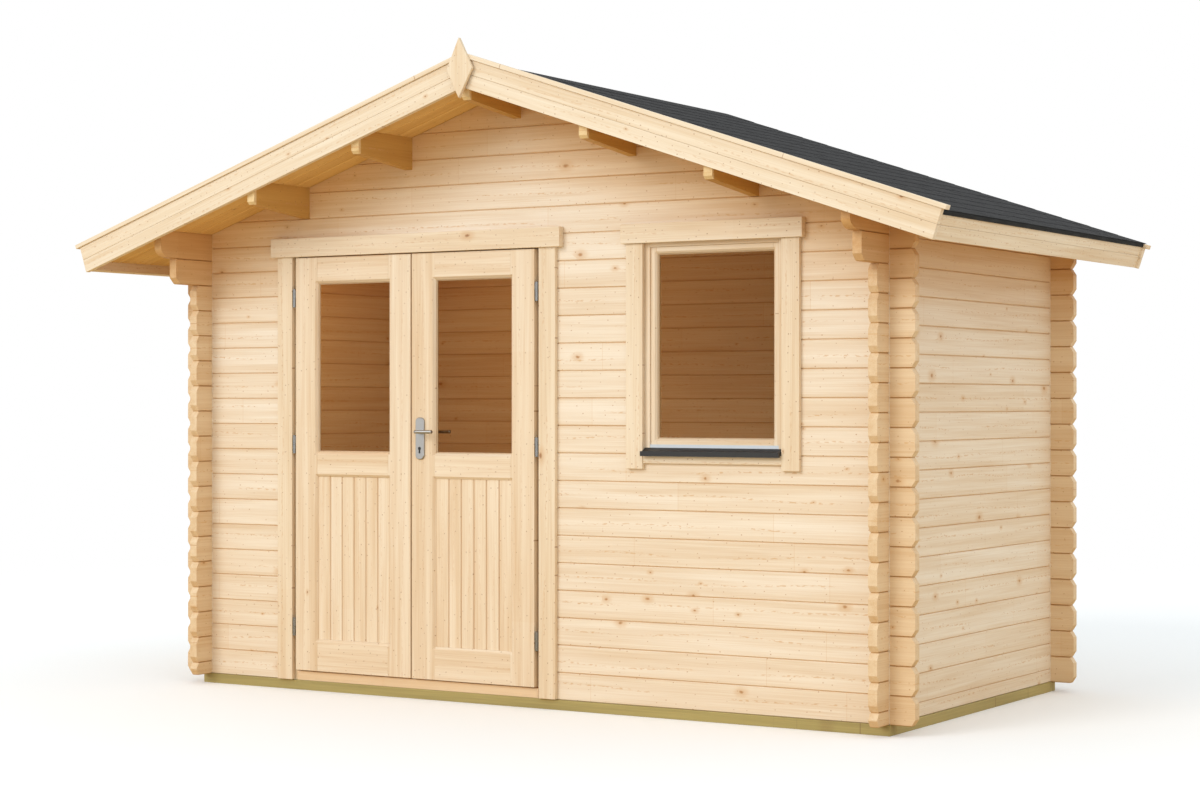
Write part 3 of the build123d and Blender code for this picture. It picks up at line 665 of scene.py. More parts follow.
class Finish(Enum):
    """The finishes of the shed."""

    # LOG: its end tone, rims, end joints, warmth under the roof and seam line are painted shade.
    LOG = LogFinish("spruce_logs", pale=(0.885, 0.80, 0.685), warm=(0.75, 0.595, 0.425),
                    knot=(0.44, 0.205, 0.065), halo=(0.62, 0.35, 0.13), knots=0.23, flecks=0.75, pins=0.4,
                    joints=0.3, seam=0.0014, painted_end_tone=(0.91, 0.80, 0.64))
    # BEAM is a darker, warmer copy of the wood: painted shade, with its end tone as painted light on the lit
    # noses.
    BEAM = WoodFinish("spruce_beams_painted_shade", pale=(0.62, 0.36, 0.095), warm=(0.51, 0.265, 0.058), knots=0.15,
                      painted_end_tone=(1.35, 1.78, 3.7))
    BOARD = WoodFinish("spruce_boards", pale=(0.855, 0.745, 0.59), warm=(0.71, 0.535, 0.345), knots=0.16,
                       flecks=0.5, pins=0.75)
    DOOR = WoodFinish("spruce_joinery", pale=(0.855, 0.735, 0.58), warm=(0.70, 0.51, 0.32), knots=0.06,
                      flecks=0.3, pins=0.6)
    # PANEL's seam is painted shade in the grooves between the boards.
    PANEL = WoodFinish("spruce_panel_boards", pale=(0.87, 0.755, 0.60), warm=(0.715, 0.53, 0.34), knots=0.06,
                       flecks=0.3, pins=0.5, seam=0.0012)
    # JAMB is a paler copy of the joinery wood: painted light in the shaded gap beside the leaves.
    JAMB = WoodFinish("spruce_jambs_painted_light", pale=(0.93, 0.80, 0.60), warm=(0.84, 0.65, 0.42), knots=0.06,
                      flecks=0.3)
    # SOFFIT is a darker, warmer copy of the wood: painted shade under the roof.
    SOFFIT = WoodFinish("spruce_roof_boards_painted_shade", pale=(0.86, 0.58, 0.225), warm=(0.69, 0.42, 0.140), flecks=0.6)
    FLOOR = WoodFinish("spruce_floor_boards", pale=(0.80, 0.59, 0.35), warm=(0.70, 0.46, 0.23), flecks=0.5)
    SILL_WOOD = WoodFinish("threshold_board", pale=(0.85, 0.66, 0.45), warm=(0.74, 0.53, 0.32), knots=0.05)
    TREATED = WoodFinish("treated_beams", pale=(0.50, 0.40, 0.155), warm=(0.34, 0.265, 0.10),
                         tint=(0.86, 0.88, 0.8), knot=(0.13, 0.06, 0.02), halo=(0.25, 0.15, 0.05),
                         knots=0.16)
    FELT = FeltFinish("roofing_felt")
    STEEL = MetalFinish("satin_steel", (0.46, 0.46, 0.455), (0.34, 0.34, 0.335), 1.0, 0.34)
    # HINGE is a darker copy of the satin steel: painted shade and painted dark reflections on the hinge
    # barrels.
    HINGE = MetalFinish("hinge_steel_painted_shade", (0.34, 0.34, 0.335), (0.21, 0.21, 0.205), 1.0, 0.30)
    SILL = MetalFinish("dark_sill", (0.012, 0.013, 0.015), (0.008, 0.009, 0.011), 0.0, 0.45,
                       (6.0, 300.0, 300.0))
    DRIP = MetalFinish("pale_drip", (0.60, 0.64, 0.68), (0.52, 0.56, 0.60), 0.35, 0.38, (6.0, 300.0, 300.0))
    SEAL = MetalFinish("pane_seal", (0.64, 0.48, 0.31), (0.56, 0.41, 0.25), 0.0, 0.6)
    # KEYHOLE is painted shade in the keyholes.
    KEYHOLE = MetalFinish("lock_shadow", (0.012, 0.012, 0.012), (0.02, 0.02, 0.02), 0.3, 0.5)
    GLASS = GlassFinish("clear_pane")


class Palette:
    """Makes each finish's material once."""

    def __init__(self) -> None:
        """Build the shared pattern."""
        self.pattern = SprucePattern().group()
        self.made: dict[Finish, bpy.types.Material] = {}

    def get(self, finish: Finish) -> bpy.types.Material:
        """Give the material of a finish, made on its first use.

        Args:
            finish: The finish.

        Returns:
            Its material.
        """
        if finish not in self.made:
            needed = (self.pattern,) if isinstance(finish.value, WoodFinish) else ()
            self.made[finish] = finish.value.material(*needed)
        return self.made[finish]


def linked(name: str, data: bpy.types.ID) -> bpy.types.Object:
    """Put an object into the scene, at the origin.

    Args:
        name: The object's name.
        data: Its mesh, lamp or camera.

    Returns:
        The new object.
    """
    made = bpy.data.objects.new(name, data)
    bpy.context.scene.collection.objects.link(made)
    return made


def mesh_object(name: str, shape: Shape) -> bpy.types.Object:
    """Make an object at the origin from points and faces.

    Args:
        name: The piece's name.
        shape: Places of the points in metres, and the point numbers of each face.

    Returns:
        The new object, linked to the scene.
    """
    points, faces = shape
    mesh = bpy.data.meshes.new(name)
    mesh.from_pydata(points.tolist(), [], faces)
    mesh.validate()
    return linked(name, mesh)


def closed_object(name: str, shape: Shape) -> bpy.types.Object:
    """Make an object of closed solids, with its faces turned outwards.

    Args:
        name: The piece's name.
        shape: Its points and faces.

    Returns:
        The new object, linked to the scene.
    """
    made = mesh_object(name, shape)
    mesh = bmesh.new()
    mesh.from_mesh(made.data)
    bmesh.ops.recalc_face_normals(mesh, faces=mesh.faces)
    mesh.to_mesh(made.data)
    mesh.free()
    return made


def mesh_points(mesh: bpy.types.Mesh) -> np.ndarray:
    """Read the places of a mesh's points.

    Args:
        mesh: The mesh.

    Returns:
        The places, as an n by 3 array.
    """
    points = np.empty(len(mesh.vertices) * 3)
    mesh.vertices.foreach_get("co", points)
    return points.reshape(-1, 3)


def coordinates(x: np.ndarray, y: np.ndarray, z: np.ndarray) -> np.ndarray:
    """Points from their coordinates, each spread to the shape that all have in common."""
    return np.stack(np.broadcast_arrays(x, y, z), axis=-1)


def prisms(rings: np.ndarray) -> Shape:
    """Closed bars, each a flat outline carried straight from one end to the other.

    Args:
        rings: Outlines, as an array of bars, 2 ends, points and 3 coordinates.

    Returns:
        The points, and the faces: a quad for each outline edge, and one flat face at each end.
    """
    bars, _, count, _ = rings.shape
    first = (np.arange(bars) * 2 * count)[:, None]
    ring = np.arange(count)[None, :]
    following = (ring + 1) % count
    near, far = first + ring, first + count + ring
    sides = np.stack([near, first + following, first + count + following, far], axis=-1).reshape(-1, 4)
    faces = sides.tolist() + near[:, ::-1].tolist() + far.tolist()
    return rings.reshape(-1, 3), faces


def joined(*pieces: Shape) -> Shape:
    """Put several sets of points and faces together.

    Args:
        pieces: Points and faces of each.

    Returns:
        All points, and all faces with their point numbers moved on.
    """
    starts = np.cumsum([0] + [len(points) for points, _ in pieces]).tolist()
    faces = []
    for start, (_, group) in zip(starts, pieces):
        faces += [[start + corner for corner in face] for face in group]
    return np.concatenate([points for points, _ in pieces]), faces


def board_labels(edges: np.ndarray, count: int) -> np.ndarray:
    """Number the separate boards of a mesh: each point takes the lowest number that its edges lead to.

    Args:
        edges: Point numbers of each edge's ends, as an n by 2 array.
        count: How many points there are.

    Returns:
        A board number for each point, from 0.
    """
    labels = np.arange(count)
    while True:
        low = labels[edges].min(axis=1)
        spread = labels.copy()
        np.minimum.at(spread, edges[:, 0], low)
        np.minimum.at(spread, edges[:, 1], low)
        spread = spread[spread]
        if np.array_equal(spread, labels):
            return np.unique(labels, return_inverse=True)[1]
        labels = spread


class Run(Enum):
    """Directions that a board's grain may run in."""

    X = (1.0, 0.0, 0.0)
    Y = (0.0, 1.0, 0.0)
    Z = (0.0, 0.0, 1.0)
    RIGHT_SLOPE = (math.cos(ROOF_PITCH), 0.0, -math.sin(ROOF_PITCH))
    LEFT_SLOPE = (math.cos(ROOF_PITCH), 0.0, math.sin(ROOF_PITCH))


SQUARE_RUNS = (Run.X, Run.Y, Run.Z)


def board_spans(labels: np.ndarray, values: np.ndarray) -> tuple[np.ndarray, np.ndarray]:
    """Find the lowest and highest values on each board.

    Args:
        labels: The board number of each point.
        values: Values of each point, as an n by k array.

    Returns:
        The lowest and the highest values, with a row for each board.
    """
    low = np.full((labels.max() + 1, values.shape[1]), np.inf)
    high = -low
    np.minimum.at(low, labels, values)
    np.maximum.at(high, labels, values)
    return low, high


def add_grain(piece: bpy.types.Object, runs: Sequence[Run], seed: int) -> None:
    """Give each board of a piece its own grain: places from its middle, along, across and through it.

    The grain runs along whichever allowed direction the board is longest in. The second axis is the wider
    of the two that are left. Each board gets a number of its own, and half its length and width.

    Args:
        piece: The piece, whose boards don't share points.
        runs: Directions that the grain may take.
        seed: Where the numbers start.
    """
    mesh = piece.data
    points = mesh_points(mesh)
    edges = np.empty(len(mesh.edges) * 2, dtype=np.int32)
    mesh.edges.foreach_get("vertices", edges)
    labels = board_labels(edges.reshape(-1, 2), len(points))
    ways = np.array([run.value for run in runs])
    low, high = board_spans(labels, points @ ways.T)
    along = ways[np.argmax(high - low, axis=1)]
    upright = np.where(np.abs(along[:, 2:]) > STEEP, (1.0, 0.0, 0.0), (0.0, 0.0, 1.0))
    across = upright - (upright * along).sum(axis=1, keepdims=True) * along
    across /= np.linalg.norm(across, axis=1, keepdims=True)
    axes = np.stack([along, across, np.cross(along, across)], axis=1)
    local = np.einsum("nij,nj->ni", axes[labels], points)
    low, high = board_spans(labels, local)
    size = high - low
    local -= ((low + high) / 2)[labels]
    turned = (size[:, 2] > size[:, 1])[labels]
    local[turned] = local[turned][:, (0, 2, 1)]
    numbers = np.random.default_rng(seed).random(len(size))
    mesh.attributes.new("grain", "FLOAT_VECTOR", "POINT").data.foreach_set("vector", local.ravel())
    values = {"board": numbers, "reach": size[:, 0] / 2, "half": size[:, 1:].max(axis=1) / 2}
    for title, value in values.items():
        mesh.attributes.new(title, "FLOAT", "POINT").data.foreach_set("value", value[labels])


def closed_seams(points: np.ndarray, base: float = 0.042, pitch: float = 0.057, seam: float = 0.00041,
                 hair: float = 1e-5) -> np.ndarray:
    """Raise the tops of logs to the logs above: heights just under a multiple of half a log go up to it.

    Args:
        points: Places of the points, as an n by 3 array.
        base: Height of the walls' foot.
        pitch: Half the height of a log.
        seam: Height of the open seams.
        hair: What is left of each seam, and the play in telling heights apart.

    Returns:
        The raised points.
    """
    height = points[:, 2]
    short = np.ceil((height - base) / pitch - hair) * pitch + base - height
    raised = points.copy()
    raised[:, 2] += np.where((short > hair) & (short < seam), short - hair, 0.0)
    return raised


def merged_copy(node: str, name: str, closed: bool) -> bpy.types.Object:
    """Copy a CAD node with its points merged and its flat faces whole.

    Args:
        node: The CAD node.
        name: The piece's name.
        closed: Whether the seams between its logs are closed.

    Returns:
        The copy.
    """
    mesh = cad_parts[node].data
    points = mesh_points(mesh)
    mesh.calc_loop_triangles()
    corners = np.empty(len(mesh.loop_triangles) * 3, dtype=np.int32)
    mesh.loop_triangles.foreach_get("vertices", corners)
    if closed:
        points = closed_seams(points)
    kept, number = np.unique(np.round(points, 6), axis=0, return_inverse=True)
    made = mesh_object(name, (kept, number.ravel()[corners].reshape(-1, 3).tolist()))
    shape = bmesh.new()
    shape.from_mesh(made.data)
    bmesh.ops.dissolve_limit(shape, angle_limit=FLAT_ANGLE, verts=shape.verts, edges=shape.edges)
    shape.to_mesh(made.data)
    shape.free()
    return made


def ease_edges(piece: bpy.types.Object, width: float) -> None:
    """Round a piece's sharp edges a little, as a plane or sandpaper does.

    Args:
        piece: The piece.
        width: Width of the rounding, in metres.
    """
    bevel = piece.modifiers.new("eased_edges", "BEVEL")
    bevel.width = width
    bevel.segments = 2
    bevel.limit_method = "ANGLE"
    bevel.angle_limit = SHARP_ANGLE


def settle(piece: bpy.types.Object, material: bpy.types.Material, body: str, slot: str, *nodes: str) -> None:
    """Dress a piece, let it ride on its body and stand for CAD nodes.

    Args:
        piece: The piece.
        material: Its material.
        body: The CAD body that it moves with.
        slot: The record's material slot; not used.
        nodes: CAD nodes that it stands for, if any.
    """
    piece.data.materials.clear()
    piece.data.materials.append(material)
    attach(piece, body)
    if nodes:
        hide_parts(*nodes)
    log.info("%s on %s: %d faces", piece.name, body, len(piece.data.polygons))


@dataclass
class Timber:
    """Wooden CAD nodes that keep their shape, and get eased edges and a grain along each board."""

    body: str
    finish: Finish
    nodes: tuple[str, ...]
    ease: float = 0.0
    runs: tuple[Run, ...] = SQUARE_RUNS
    suffix: str = "wood"
    slot: str = "spruce_wood"
    closed: bool = False

    def build(self, palette: Palette) -> None:
        """Make and dress each node's piece.

        Args:
            palette: Where the finishes come from.
        """
        for step, node in enumerate(self.nodes):
            piece = merged_copy(node, f"{node}_{self.suffix}", self.closed)
            add_grain(piece, self.runs, sum(map(ord, node)) + step)
            if self.ease:
                ease_edges(piece, self.ease)
            settle(piece, palette.get(self.finish), self.body, self.slot, node)


@dataclass
class RoofCovering:
    """Roof boards, felt and ridge strip, placed down the slope and above the boards' underside."""

    pitch: float = ROOF_PITCH
    apex: float = ROOF_APEX
    front: float = -1.081
    back: float = 1.099
    edge: float = 1.131
    seam: float = 0.0002
    deck: float = 0.067
    deck_end: float = 2.162
    slope: float = 2.184
    boards: int = 23
    board_gap: float = 0.0006
    board_bevel: float = 0.0035
    board_seed: int = 40
    felt: float = 0.002
    lap: float = 0.0016
    thin: float = 0.0004
    rows: int = 16
    tab: float = 0.333
    slot: float = 0.007
    turn: float = 0.005
    turn_down: float = 0.016
    turn_steps: int = 6
    ridge_half: float = 0.125
    ridge_inset: float = 0.006

    def ridge(self, height: np.ndarray) -> np.ndarray:
        """Distance down the slope at which a height above the underside meets the ridge's upright plane."""
        return (self.seam - height * math.sin(self.pitch)) / math.cos(self.pitch)

    def place(self, down: np.ndarray, y: np.ndarray, up: np.ndarray, side: int) -> np.ndarray:
        """Points on a slope: X and Z from the distance down it and above it, turned by the pitch.

        Args:
            down: Distances down the slope.
            y: Places along the ridge.
            up: Heights above the boards' underside, square to the slope.
            side: 1 for the right slope, -1 for the left one.

        Returns:
            The points, with their three coordinates last.
        """
        x = down * math.cos(self.pitch) + up * math.sin(self.pitch)
        z = self.apex - down * math.sin(self.pitch) + up * math.cos(self.pitch)
        return coordinates(side * x, y, z)

    def roof_boards(self, side: int) -> Shape:
        """Boards down the slope, side by side along Y, with bevelled lower edges that make V joints.

        Args:
            side: 1 for the right slope, -1 for the left one.

        Returns:
            Points and faces.
        """
        starts = np.linspace(self.front, self.back, self.boards + 1)
        width = starts[1] - starts[0] - self.board_gap
        bevel = self.board_bevel
        y = np.array([bevel, width - bevel, width, width, 0.0, 0.0])
        up = np.array([0.0, 0.0, bevel, self.deck, self.deck, bevel])
        across = starts[:-1, None, None] + y[None, None, :]
        down = np.stack([self.ridge(up), np.full_like(up, self.deck_end)])[None]
        return prisms(self.place(down, across, up[None, None], side))

    def sheet_profile(self) -> tuple[np.ndarray, np.ndarray]:
        """Outline of the under-felt: level down the slope, and turned down over the eaves in an arc.

        Returns:
            Distances down the slope, and heights above the boards' underside.
        """
        top = self.deck + self.felt
        bend = np.linspace(0.0, math.pi / 2, self.turn_steps)
        low = self.deck - self.turn_down
        down = np.concatenate([self.ridge(np.array([top])), self.slope + self.turn * np.sin(bend),
                               [self.slope + self.turn, self.slope, self.slope],
                               self.ridge(np.array([self.deck]))])
        up = np.concatenate([[top], top - self.turn * (1.0 - np.cos(bend)),
                             [low, low, self.deck, self.deck]])
        return down, up

    def sheets(self, side: int) -> Shape:
        """The under-felt: its outline carried along Y, and a level strip behind it over the edge boards.

        Args:
            side: 1 for the right slope, -1 for the left one.

        Returns:
            Points and faces.
        """
        down, up = self.sheet_profile()
        ends = np.array([self.front, self.back])[None, :, None]
        sheet = prisms(self.place(down[None, None], ends, up[None, None], side))
        top = self.deck + self.felt
        rise = np.array([self.deck, self.deck, top, top])
        strip_down = np.array([self.ridge(rise[0]), self.slope, self.slope, self.ridge(rise[3])])
        ends = np.array([self.back, self.edge])[None, :, None]
        strip = prisms(self.place(strip_down[None, None], ends, rise[None, None], side))
        return joined(sheet, strip)

    def tabs(self, side: int) -> Shape:
        """Rows of felt tabs: wedges that thicken down the slope, each row half a tab along from the last.

        Args:
            side: 1 for the right slope, -1 for the left one.

        Returns:
            Points and faces.
        """
        base = self.deck + self.felt
        rows = np.linspace(0.0, self.slope + self.turn, self.rows + 1)
        count = math.ceil((self.edge - self.front) / self.tab)
        row, tab = np.meshgrid(np.arange(self.rows), np.arange(-1, count), indexing="ij")
        start = self.front + (tab + 0.5 * (row % 2)) * self.tab
        low = np.clip(start + self.slot / 2, self.front, self.edge).ravel()
        high = np.clip(start + self.tab - self.slot / 2, self.front, self.edge).ravel()
        kept = high - low > self.slot
        upper, lower = rows[:-1][row.ravel()][kept], rows[1:][row.ravel()][kept]
        rise = np.array([base, base, base + self.lap, base + self.thin])
        down = np.stack([upper, lower, lower, upper], axis=-1)[:, None]
        ends = np.stack([low[kept], high[kept]], axis=-1)[:, :, None]
        return prisms(self.place(down, ends, rise[None, None], side))

    def ridge_strip(self) -> Shape:
        """A strip of felt bent over the ridge: an outline across both slopes carried along Y.

        Returns:
            Points and faces.
        """
        base = self.deck + self.felt + self.lap
        top = base + self.thin
        down = np.array([self.ridge_half, float(self.ridge(np.array(base)))])
        over = np.array([float(self.ridge(np.array(top))), self.ridge_half])
        ends = np.array([self.front + self.ridge_inset, self.edge])[:, None]
        lower = self.place(down[None], ends, np.full((1, 2), base), 1)
        upper = self.place(over[None], ends, np.full((1, 2), top), 1)
        left_upper = self.place(over[None, ::-1][:, :1], ends, np.full((1, 1), top), -1)
        left_lower = self.place(down[None, :1], ends, np.full((1, 1), base), -1)
        ring = np.concatenate([lower[:, 0:1], upper[:, 1:2], upper[:, 0:1], left_upper, left_lower,
                               lower[:, 1:2]], axis=1)
        return prisms(ring[None])

    def build(self, palette: Palette) -> None:
        """Make and dress the roof's coverings.

        Args:
            palette: Where the finishes come from.
        """
        felt = palette.get(Finish.FELT)
        for side, name, run in ((1, "right", Run.RIGHT_SLOPE), (-1, "left", Run.LEFT_SLOPE)):
            boards = closed_object(f"roof_boards_{name}", self.roof_boards(side))
            add_grain(boards, (run,), self.board_seed + side)
            settle(boards, palette.get(Finish.SOFFIT), "shed", "rough_wood", f"roof_deck_{name}")
            sheets = closed_object(f"felt_sheets_{name}", self.sheets(side))
            settle(sheets, felt, "shed", "roofing_felt", f"roof_felt_{name}")
            tabs = closed_object(f"felt_tabs_{name}", self.tabs(side))
            settle(tabs, felt, "shed", "roofing_felt")
        strip = closed_object("ridge_felt_strip", self.ridge_strip())
        settle(strip, felt, "shed", "roofing_felt")


@dataclass
class FloorBoards:
    """Floor boards along X on the joists, with bevelled upper edges."""

    boards: int = 16
    gap: float = 0.0006
    bevel: float = 0.002
    seed: int = 7

    def build(self, palette: Palette) -> None:
        """Make and dress the floor: a board's outline across Y, carried along X.

        Args:
            palette: Where the finishes come from.
        """
        low, high = (np.array(corner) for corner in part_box("floor_boards"))
        starts = np.linspace(low[1], high[1], self.boards + 1)
        width = starts[1] - starts[0] - self.gap
        y = np.array([0.0, width, width, width - self.bevel, self.bevel, 0.0])
        z = np.array([low[2], low[2], high[2] - self.bevel, high[2], high[2], high[2] - self.bevel])
        ends = np.array([low[0], high[0]])[None, :, None]
        across = starts[:-1, None, None] + y[None, None]
        piece = closed_object("floor_planks", prisms(coordinates(ends, across, z[None, None])))
        add_grain(piece, (Run.X,), self.seed)
        settle(piece, palette.get(Finish.FLOOR), "shed", "rough_wood", "floor_boards")


@dataclass
class BoardedPanel:
    """The lower panel of a door leaf: upright boards with V grooves between them on both faces."""

    body: str
    boards: int = 6
    groove: float = 0.004
    depth: float = 0.006
    seam: float = 0.0002

    def build(self, palette: Palette) -> None:
        """Make and dress the boards: an eight-cornered outline for each, carried up along Z.

        Args:
            palette: Where the finishes come from.
        """
        node = f"{self.body}_panel"
        low, high = (np.array(corner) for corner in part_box(node))
        edges = np.linspace(low[0], high[0], self.boards + 1)
        left, right = edges[:-1, None], edges[1:, None]
        groove, depth = self.groove, self.depth
        outer = np.arange(self.boards)[:, None]
        left_cut = np.where(outer > 0, groove, 0.0)
        right_cut = np.where(outer < self.boards - 1, groove, 0.0)
        gap = self.seam / 2
        x = np.concatenate([left + left_cut, right - right_cut, right - gap, right - gap, right - right_cut,
                            left + left_cut, left + gap, left + gap], axis=1)
        x[0, 6:] = x[0, 5] - gap
        x[-1, 2:4] = x[-1, 1] + gap
        y = np.array([low[1], low[1], low[1] + depth, high[1] - depth, high[1], high[1], high[1] - depth,
                      low[1] + depth])
        ends = np.array([low[2], high[2]])[None, :, None]
        piece = closed_object(f"{node}_boards", prisms(coordinates(x[:, None], y[None, None], ends)))
        add_grain(piece, (Run.Z,), len(node))
        settle(piece, palette.get(Finish.PANEL), self.body, "spruce_wood", node)


@dataclass
class Keyholes:
    """Painted shade in the keyholes of both handle plates: dark prisms, a round body with a narrower foot
    below it.
    """

    centre: Span = (-0.486, 1.080)
    radius: float = 0.0075
    foot: float = 0.0043
    drop: float = 0.021
    depths: tuple[Span, ...] = ((-0.7295, -0.7245), (-0.6775, -0.6725))
    arc: int = 24

    def build(self, palette: Palette) -> None:
        """Make and dress the dark keyholes: an arc over the body, closed by the foot's corners, carried
        along Y.

        Args:
            palette: Where the finishes come from.
        """
        start = math.asin(self.foot / self.radius) - math.pi / 2
        turn = np.linspace(start, math.pi - start, self.arc)
        x = self.centre[0] + np.append(self.radius * np.cos(turn), [-self.foot, self.foot])
        z = self.centre[1] + np.append(self.radius * np.sin(turn), [-self.drop, -self.drop])
        ends = np.array(self.depths)[:, :, None]
        rings = coordinates(x[None, None], ends, z[None, None])
        piece = closed_object("keyhole_painted_shade", prisms(rings))
        settle(piece, palette.get(Finish.KEYHOLE), "right_door", "dark_sill")


@dataclass
class PaneSeals:
    """Thin beads around both faces of a pane."""

    width: float = 0.0045
    depth: float = 0.003
    taper: float = 0.55
    panes: tuple[tuple[str, str], ...] = (
        ("left_door_glass", "left_door"), ("right_door_glass", "right_door"), ("window_glass", "shed"))

    def strip(self, node: str, face: int) -> Shape:
        """A strip's outline carried round a pane's edge, with mitred corners.

        Args:
            node: The pane's CAD node.
            face: -1 for the outer face of the pane, 1 for the inner one.

        Returns:
            Points and faces.
        """
        low, high = (np.array(corner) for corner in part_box(node))
        start = low[1] if face < 0 else high[1]
        inset = np.array([0.0, self.width, self.width * self.taper, 0.0])
        y = start + face * np.array([0.0, 0.0, self.depth, self.depth])
        sign = np.array([[-1, -1], [1, -1], [1, 1], [-1, 1]])
        x = np.where(sign[:, :1] < 0, low[0] + inset, high[0] - inset)
        z = np.where(sign[:, 1:] < 0, low[2] + inset, high[2] - inset)
        points = coordinates(x, y[None], z)
        corner, ring = np.meshgrid(np.arange(4), np.arange(4), indexing="ij")
        here, there, following = corner * 4, (corner + 1) % 4 * 4, (ring + 1) % 4
        quads = np.stack([here + ring, there + ring, there + following, here + following], axis=-1)
        return points.reshape(-1, 3), quads.reshape(-1, 4).tolist()

    def build(self, palette: Palette) -> None:
        """Make and dress the strips.

        Args:
            palette: Where the finishes come from.
        """
        for node, body in self.panes:
            for face, name in ((-1, "outer"), (1, "inner")):
                piece = closed_object(f"{node}_{name}_seal", self.strip(node, face))
                settle(piece, palette.get(Finish.SEAL), body, "dark_sill")


@dataclass
class Hardware:
    """Hinges, lever handle, sill rail and panes: CAD nodes that keep their shape and get a better finish."""

    finishes: dict[str, Finish] = field(default_factory=lambda: {
        "hinge_pins": Finish.HINGE, "left_door_hinges": Finish.HINGE, "right_door_hinges": Finish.HINGE,
        "handle_plates": Finish.STEEL, "lever_handle": Finish.STEEL, "window_sill": Finish.SILL,
        "window_drip": Finish.DRIP, "left_door_glass": Finish.GLASS, "right_door_glass": Finish.GLASS,
        "window_glass": Finish.GLASS})

    def build(self, palette: Palette) -> None:
        """Dress the nodes.

        Args:
            palette: Where the finishes come from.
        """
        for node, finish in self.finishes.items():
            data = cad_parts[node].data
            data.materials.clear()
            data.materials.append(palette.get(finish))
            log.info("%s in %s", node, finish.name.lower())


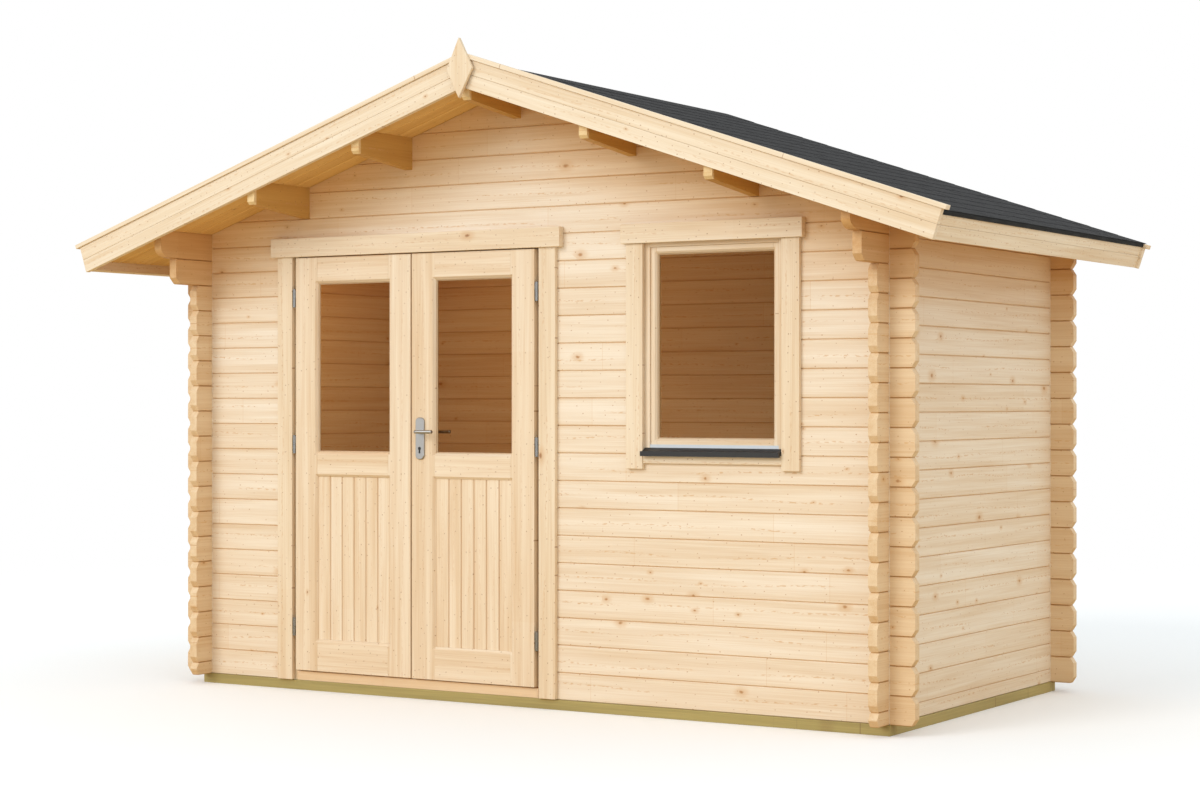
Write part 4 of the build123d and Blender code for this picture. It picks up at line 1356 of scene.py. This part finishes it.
@dataclass
class Studio:
    """Pale floor, soft light and the camera at the picture's angle."""

    camera_place: Triple = (5.6067, -9.1175, 1.2777)
    camera_yaw: float = math.radians(31.7)
    lens: float = 72.17
    sensor: float = 36.0
    far: float = 200.0
    sky: float = 0.95
    sky_tint: Colour = (0.93, 0.98, 1.0)
    sun: float = 1.1
    sun_turn: Triple = (math.radians(66), 0.0, math.radians(-20))
    sun_spread: float = math.radians(30)
    sun_colour: Colour = (1.0, 0.985, 0.96)
    fill: float = 0.5
    fill_turn: Triple = (math.radians(66), 0.0, math.radians(60))
    fill_spread: float = math.radians(90)
    room_lamp: float = 9.0
    room_place: Triple = (-0.86, -0.35, 1.7)
    room_colour: Colour = (1.0, 0.60, 0.24)
    room_size: float = 0.25
    bounce: Colour = (0.62, 0.43, 0.17)
    floor_colour: Colour = (0.97, 0.97, 0.97)
    floor_span: Span = (0.5, 16.0)
    floor_rings: int = 12
    floor_steps: int = 48
    floor_roughness: float = 0.95
    fade: Span = (4.0, 9.0)

    def build(self) -> None:
        """Make the floor, the light and the camera."""
        self.world()
        self.floor()
        self.sunlight("key_light", self.sun, self.sun_turn, self.sun_spread)
        self.sunlight("fill_light", self.fill, self.fill_turn, self.fill_spread)
        self.room()
        camera = bpy.data.cameras.new("camera")
        camera.sensor_fit = "HORIZONTAL"
        camera.sensor_width = self.sensor
        camera.lens = self.lens
        camera.clip_end = self.far
        eye = linked("camera", camera)
        eye.location = self.camera_place
        eye.rotation_euler = (math.pi / 2, 0.0, self.camera_yaw)
        bpy.context.scene.camera = eye
        bpy.context.scene.view_settings.view_transform = "Standard"

    def sunlight(self, name: str, energy: float, turn: Triple, spread: float) -> None:
        """Add a soft light from far away.

        Args:
            name: The lamp's name.
            energy: Its strength.
            turn: Its rotation.
            spread: The angle that it is seen under, which softens its shadows.
        """
        lamp = bpy.data.lights.new(name, "SUN")
        lamp.energy = energy
        lamp.angle = spread
        lamp.color = self.sun_colour
        linked(name, lamp).rotation_euler = turn

    def room(self) -> None:
        """A soft warm lamp in the room, which is not itself seen."""
        lamp = bpy.data.lights.new("room_light", "POINT")
        lamp.energy = self.room_lamp
        lamp.shadow_soft_size = self.room_size
        lamp.color = self.room_colour
        glow = linked("room_light", lamp)
        glow.location = self.room_place
        glow.visible_camera = False
        glow.visible_glossy = False
        glow.visible_transmission = False

    def world(self) -> None:
        """White to the camera and in reflections, and a softer even light on the object."""
        world = bpy.data.worlds.new("studio")
        world.use_nodes = True
        world.node_tree.nodes.clear()
        wire = Wiring(world.node_tree)
        path = wire.node("LightPath").outputs
        seen = wire.math("MAXIMUM", path["Is Camera Ray"],
                         wire.math("MAXIMUM", path["Is Glossy Ray"], path["Is Transmission Ray"]))
        strength = wire.math("MULTIPLY_ADD", seen, 1.0 - self.sky, self.sky)
        sky = wire.node("Background", Color=wire.mix(seen, self.sky_tint, WHITE), Strength=strength)
        wire.node("OutputWorld", Surface=sky.outputs[0])
        bpy.context.scene.world = world

    def floor(self) -> None:
        """A round floor, in rings from its middle out, that fades away before the horizon."""
        steps = self.floor_steps
        radius = np.linspace(*self.floor_span, self.floor_rings)[:, None]
        turn = np.linspace(0.0, 2 * math.pi, steps, endpoint=False)[None]
        points = coordinates(radius * np.cos(turn), radius * np.sin(turn), np.zeros(1))
        ring, step = np.meshgrid(np.arange(self.floor_rings - 1) * steps, np.arange(steps), indexing="ij")
        outer, following = ring + steps, (step + 1) % steps
        quads = np.stack([ring + step, outer + step, outer + following, ring + following], axis=-1)
        middle = [list(range(steps))]
        piece = mesh_object("floor", (points.reshape(-1, 3), quads.reshape(-1, 4).tolist() + middle))
        made, wire, surface = new_material("pale_floor")
        away = wire.node("VectorMath", {"operation": "LENGTH"})
        wire.feed(away.inputs[0], wire.node("TexCoord").outputs["Object"])
        seen = wire.node("LightPath").outputs["Is Camera Ray"]
        wire.fill(surface, Base_Color=wire.mix(seen, self.bounce, self.floor_colour),
                  Roughness=self.floor_roughness, Specular_IOR_Level=0.0)
        see_through(wire, surface, wire.step(away.outputs["Value"], *self.fade), WHITE)
        piece.data.materials.append(made)


def main() -> None:
    """Build the shed's pieces in order, then the studio."""
    logging.basicConfig(level=logging.INFO, format="%(message)s")
    palette = Palette()
    slopes = (*SQUARE_RUNS, Run.RIGHT_SLOPE, Run.LEFT_SLOPE)
    logs = ("left_wall", "right_wall", "back_wall", "front_wall_left", "front_wall_middle",
            "front_wall_right", "front_wall_below_window", "front_gable")
    purlins = ("ridge_purlin", "upper_purlin_left", "upper_purlin_right", "lower_purlin_left",
               "lower_purlin_right")
    edge_boards = ("front_barge_left", "front_barge_right", "back_barge_left", "back_barge_right",
                   "eaves_board_left", "eaves_board_right")
    trim = ("gable_finial", "door_casing_left", "door_casing_right", "door_header", "window_casing")
    parts = [
        Timber("shed", Finish.LOG, logs, suffix="logs", closed=True),
        Timber("shed", Finish.BEAM, purlins, suffix="beam"),
        Timber("shed", Finish.TREATED, ("foundation_beams",), ease=0.0015, suffix="treated",
               slot="treated_wood"),
        Timber("shed", Finish.BOARD, edge_boards, ease=0.0016, runs=slopes, suffix="boards"),
        Timber("shed", Finish.BOARD, trim, ease=0.002, suffix="board"),
        Timber("shed", Finish.JAMB, ("door_jamb_left", "door_jamb_right", "door_head"), ease=0.0012,
               suffix="joinery"),
        Timber("shed", Finish.DOOR, ("window_frame", "window_sash"), ease=0.0012, suffix="joinery"),
        Timber("shed", Finish.SILL_WOOD, ("door_threshold",), ease=0.002, suffix="board"),
    ]
    for door in ("left_door", "right_door"):
        parts.append(Timber(door, Finish.DOOR, (f"{door}_frame",), ease=0.0015, suffix="joinery"))
        parts.append(BoardedPanel(door))
    parts += [Keyholes(), RoofCovering(), FloorBoards(), PaneSeals(), Hardware()]
    for part in parts:
        part.build(palette)
    Studio().build()


if __name__ == "__main__":
    main()
